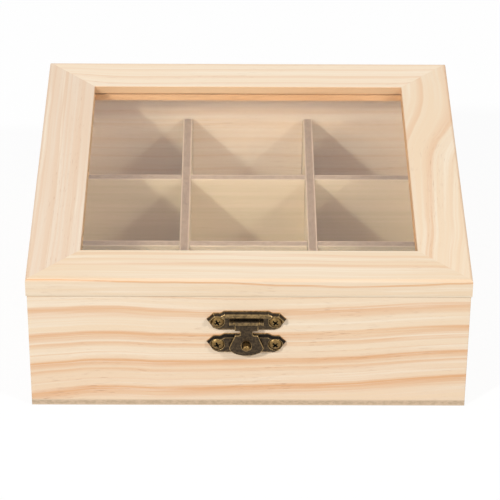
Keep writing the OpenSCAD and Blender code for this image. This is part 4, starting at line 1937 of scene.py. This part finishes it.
@dataclass(frozen=True)
class Clasp:
    """The stamped hasp clasp on the front.

    Attributes:
        screw: Its screws.
        hasp: The shape of the hasp.
        catch: The plate on the case.
        upper: The plate on the lid.
        knuckle_l: Length of the knuckles beside the barrel.
        knuckle_r: Radius of the knuckles.
        knuckle_gap: Gap between the barrel and a knuckle.
        pin_r: Radius of the pin's hole in the knuckles.
        peg_round: Width of the round on the peg's edges, in metres.
    """

    screw: CrossScrew = CrossScrew(6.2, 1.5, 2.2, 9.0)
    hasp: HaspShape = HaspShape()
    # The catch plate's upper slope carries strong painted shade.
    catch: StampedPlate = StampedPlate(face=1.7, slope_grime=0.95)
    upper: StampedPlate = StampedPlate(face=2.2, upper_slope=1.1, band=2.3)
    knuckle_l: float = 2.2
    knuckle_r: float = 1.05
    knuckle_gap: float = 0.4
    pin_r: float = 0.62
    peg_round: float = 0.15 * MM

    def build(self, metals: dict[str, bpy.types.Material]) -> None:
        """Makes the plates, the hasp, the peg and the screws.

        Args:
            metals: The finishes by slot.
        """
        bronze, brass = metals["antique_bronze"], metals["worn_brass"]
        plane = FRONT_PLANE
        pin, _, _ = centred(plane.span("hasp_pin"))
        span = plane.span("catch_plate")
        catch = new_object("catch", self.catch.mesh(span))
        # The catch plate's upper slope gets painted shade.
        finish_metal(catch, plane, Wear(), self.catch.painted_shade(span))
        hand_over(catch, Piece("stamped", "catch_plate", "body", "antique_bronze"), bronze)
        span = plane.span("hasp_plate")
        upper = self.upper_plate(span, pin)
        # The plate's upper slope gets painted shade; its crest and the knuckles' front get wear with a
        # painted highlight.
        finish_metal(
            upper, plane, Wear(), self.upper.painted_shade(span),
            lambda point: 0.3 * eased(point.z - pin.z, 0.5, 1.0) + self.upper.ridge(point.z),
        )
        hand_over(upper, Piece("stamped", "hasp_plate", "lid", "antique_bronze"), bronze)
        hasp = self.hasp.build(pin.x, pin.y, pin.z)
        # The barrel's proud front gets wear with a painted highlight line.
        finish_metal(hasp, plane, Wear(), polish_and_sheen=lambda point: 0.36 * eased(point.z - pin.z, 0.7, 1.2))
        hand_over(hasp, Piece("rolled", "hasp", "hasp", "antique_bronze"), bronze)
        peg = softened("catch_peg", self.peg_round)
        DOMED_WEAR.mark(peg.data)
        hand_over(peg, Piece("worn", "catch_peg", "body", "worn_brass"), brass)
        tree = self.screw.tree("Clasp Screws")
        for node, plate, body, turns in (
            ("hasp_plate_screws", "hasp_plate", "lid", (28.0, 54.0)),
            ("catch_screws", "catch_plate", "body", (22.0, 48.0)),
        ):
            middle, _, _ = centred(plane.span(plate))
            half = self.catch.screw_pitch / 2
            places = tuple((middle.x + side * half, middle.y - self.catch.screw_drop) for side in (-1, 1))
            ScrewRow(node, body, places, turns).build(tree, plane, self.catch.seat, brass)
        keep_node("hasp_pin", brass, "worn_brass")

    def upper_plate(self, span: Span, pin: Vector) -> bpy.types.Object:
        """The plate on the lid with the knuckles that hold the pin.

        Args:
            span: The plate's corners.
            pin: The middle of the pin.

        Returns:
            The object, still in millimetres.
        """
        made = new_object("upper", self.upper.mesh(span))
        radius = self.knuckle_r
        near = self.hasp.barrel_l / 2 + self.knuckle_gap
        parts = []
        for side in (-1, 1):
            start = pin + Vector((side * near, 0, 0))
            end = pin + Vector((side * (near + self.knuckle_l), 0, 0))
            parts.append(diced(new_object("knuckle", tube(radius, 0, start, end))))
            low_x, high_x = sorted((start.x, end.x))
            foot = block((low_x, pin.y - radius, 0.2), (high_x, pin.y + radius, pin.z))
            parts.append(diced(new_object("knuckle_foot", foot)))
        reach = Vector((1.1 * (near + self.knuckle_l), 0, 0))
        bore = new_object("pin_hole", tube(self.pin_r, 0, pin - reach, pin + reach, sides=32))
        return fused(fused(made, parts), [bore], "DIFFERENCE")


@dataclass(frozen=True)
class ButtHinges:
    """The two hinges on the back.

    Attributes:
        screw: Their screws.
        break_w: Width of the round on the leaves' edges, in metres.
        grain: Distance between the points that carry their wear, in metres.
        leaf_h: Height of a leaf's plate, in millimetres.
        leaf_t: Its thickness.
        leaf_screw_pitch: Distance between its screws.
        turns: How far the case's screws are turned, in degrees.
        lid_turn: How much further those of the lid are turned.
    """

    screw: CrossScrew = CrossScrew(4.6, 1.0, 1.8, 8.0, rim_h=0.15)
    break_w: float = 0.16 * MM
    grain: float = 0.4 * MM
    leaf_h: float = 9.0
    leaf_t: float = 0.9
    leaf_screw_pitch: float = 16.0
    turns: tuple[float, ...] = (15.0, 62.0, 35.0, 80.0)
    lid_turn: float = 45.0

    def build(self, metals: dict[str, bpy.types.Material]) -> None:
        """Makes the leaves and the screws.

        Args:
            metals: The finishes by slot.
        """
        bronze, brass = metals["antique_bronze"], metals["worn_brass"]
        tree = self.screw.tree("Hinge Screws")
        for body in ("body", "lid"):
            places = []
            for side in ("right", "left"):
                node = f"hinge_{side}_{body}_leaf"
                made = diced(softened(node, self.break_w), self.grain)
                Wear(rubbed=(12, 30)).mark(made.data)
                smooth(made.data, METAL_SHARP)
                hand_over(made, Piece("pressed", node, body, "antique_bronze"), bronze)
                low, high = BACK_PLANE.span(node)
                up = (low.y + self.leaf_h / 2) if body == "body" else (high.y - self.leaf_h / 2)
                middle = (low.x + high.x) / 2
                places += [(middle + end * self.leaf_screw_pitch / 2, up) for end in (-1, 1)]
            turns = tuple(turn + (self.lid_turn if body == "lid" else 0.0) for turn in self.turns)
            row = ScrewRow(f"hinge_{body}_screws", body, tuple(places), turns)
            row.build(tree, BACK_PLANE, self.leaf_t, brass)
        for side in ("left", "right"):
            keep_node(f"hinge_{side}_pin", brass, "worn_brass")


# ---- Studio ---------------------------------------------------------------


@dataclass(frozen=True)
class Lamp:
    """A round softbox: the direction that it stands in, its distance, its size and its power."""

    name: str
    direction: tuple[float, float, float]
    power: float
    size: float = 0.26
    distance: float = 3.2


@dataclass(frozen=True)
class Studio:
    """The pale floor, the lamps, the surrounding light and the camera.

    Attributes:
        lamps: The lamps.
        surround: Strength of the light from all round.
        floor_size: Width of the floor, in metres.
        floor_drop: How far it lies below the box, so that their faces don't meet.
        floor_glow: Share of its own light in how it looks.
        floor_look: Its colour as the camera sees it.
        floor_bounce: Its colour for the light that it throws back.
        eye: Place of the camera.
        pitch: How far the camera looks down, in degrees.
        yaw: How far it is turned to the right.
        roll: How far it is tilted.
        lens: Its focal length in millimetres.
    """

    lamps: tuple[Lamp, ...] = (
        Lamp("Left lamp", (-1.0, -1.0, 1.05), 53.0),
        Lamp("Right lamp", (1.0, -0.7, 1.04), 35.0),
    )
    surround: float = 0.48
    floor_size: float = 8.0
    floor_drop: float = 0.0002
    floor_glow: float = 0.9
    floor_look: Colour = (0.97, 0.97, 0.97, 1.0)
    floor_bounce: Colour = (0.56, 0.56, 0.56, 1.0)
    eye: tuple[float, float, float] = (-0.0079, -1.1716, 0.8162)
    pitch: float = 34.08
    yaw: float = 0.44
    roll: float = 0.42
    lens: float = 190.44

    @staticmethod
    def seen(graph: Graph) -> Socket:
        """1 for the rays of the camera and of mirror images and glass, else 0."""
        path = graph.add("LightPath").outputs
        both = graph.plus(path["Is Camera Ray"], path["Is Glossy Ray"])
        return graph.plus(both, path["Is Transmission Ray"], clamp=True)

    def build(self) -> None:
        """Sets up the studio round the box."""
        scene = bpy.context.scene
        scene.view_settings.view_transform = "Standard"
        self.build_world(scene)
        self.build_floor()
        for lamp in self.lamps:
            self.build_lamp(lamp)
        scene.camera = self.build_camera()

    def build_world(self, scene: bpy.types.Scene) -> None:
        """Even light from all round, which looks white."""
        scene.world = bpy.data.worlds.new("Studio")
        graph = fresh_graph(scene.world)
        strength = graph.math("MULTIPLY_ADD", self.seen(graph), 1.0 - self.surround, self.surround)
        glow = graph.put("Background", {"Color": (1, 1, 1, 1), "Strength": strength})
        graph.add("OutputWorld", {"Surface": glow})

    def build_floor(self) -> None:
        """A pale floor just under the box, which keeps a soft trace of its shadow."""
        mesh = bmesh.new()
        bmesh.ops.create_grid(mesh, x_segments=1, y_segments=1, size=self.floor_size / 2)
        bmesh.ops.translate(mesh, verts=mesh.verts, vec=(0, 0, -self.floor_drop))
        floor = new_object("studio_floor", mesh)
        material = bpy.data.materials.new("Pale floor")
        graph = fresh_graph(material)
        seen = self.seen(graph)
        matt = graph.add("BsdfDiffuse", {"Color": graph.mix(seen, self.floor_bounce, self.floor_look)})
        glow = graph.add("Emission", {"Color": (1, 1, 1, 1), "Strength": 1.0})
        both = graph.over(graph.times(seen, self.floor_glow), matt, glow)
        graph.add("OutputMaterial", {"Surface": both})
        floor.data.materials.append(material)
        floor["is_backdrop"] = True

    @staticmethod
    def build_lamp(lamp: Lamp) -> None:
        """A lamp that shines on the middle of the box."""
        light = bpy.data.lights.new(lamp.name, "AREA")
        light.shape = "DISK"
        light.size = lamp.size
        light.energy = lamp.power
        made = linked(lamp.name, light)
        towards = Vector(lamp.direction).normalized()
        made.location = towards * lamp.distance
        made.rotation_euler = towards.to_track_quat("Z", "Y").to_euler()

    def build_camera(self) -> bpy.types.Object:
        """The camera at the viewing angle of the front.

        Returns:
            The camera.
        """
        yaw, pitch, roll = (math.radians(angle) for angle in (self.yaw, self.pitch, self.roll))
        ahead = Vector((math.sin(yaw) * math.cos(pitch), math.cos(yaw) * math.cos(pitch), -math.sin(pitch)))
        right = Vector((math.cos(yaw), -math.sin(yaw), 0))
        up = right.cross(ahead)
        across = right * math.cos(roll) + up * math.sin(roll)
        upright = up * math.cos(roll) - right * math.sin(roll)
        turned = Matrix((across, upright, -ahead)).transposed().to_4x4()
        data = bpy.data.cameras.new("Camera")
        data.sensor_width = 36
        data.lens = self.lens
        data.clip_start = 0.05
        camera = linked("Camera", data)
        camera.matrix_world = Matrix.Translation(self.eye) @ turned
        return camera


def main() -> None:
    """Builds the box, its fittings and the studio, in that order."""
    logging.basicConfig(level=logging.INFO, format="%(message)s")
    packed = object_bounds()
    timber = Timber(timber_fibre_group(), ply_edge_group(), wear_shade_and_sheen_group())
    metals = {
        "antique_bronze": AgedMetal(
            "Antique bronze", tone(58, 48, 37), tone(90, 75, 56), tone(176, 146, 98), evenness=0.55
        ).material(timber),
        "worn_brass": AgedMetal(
            "Worn brass", tone(118, 92, 54), tone(148, 120, 74), tone(184, 156, 102), evenness=0.5, gloss=0.4
        ).material(timber),
    }
    WoodenCase().build(timber)
    DividerGrid().build(timber)
    WindowLid().build(timber)
    Clasp().build(metals)
    ButtHinges().build(metals)
    Studio().build()
    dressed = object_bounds()
    [[list(corner) for corner in box] for box in (packed, dressed)]


if __name__ == "__main__":
    main()
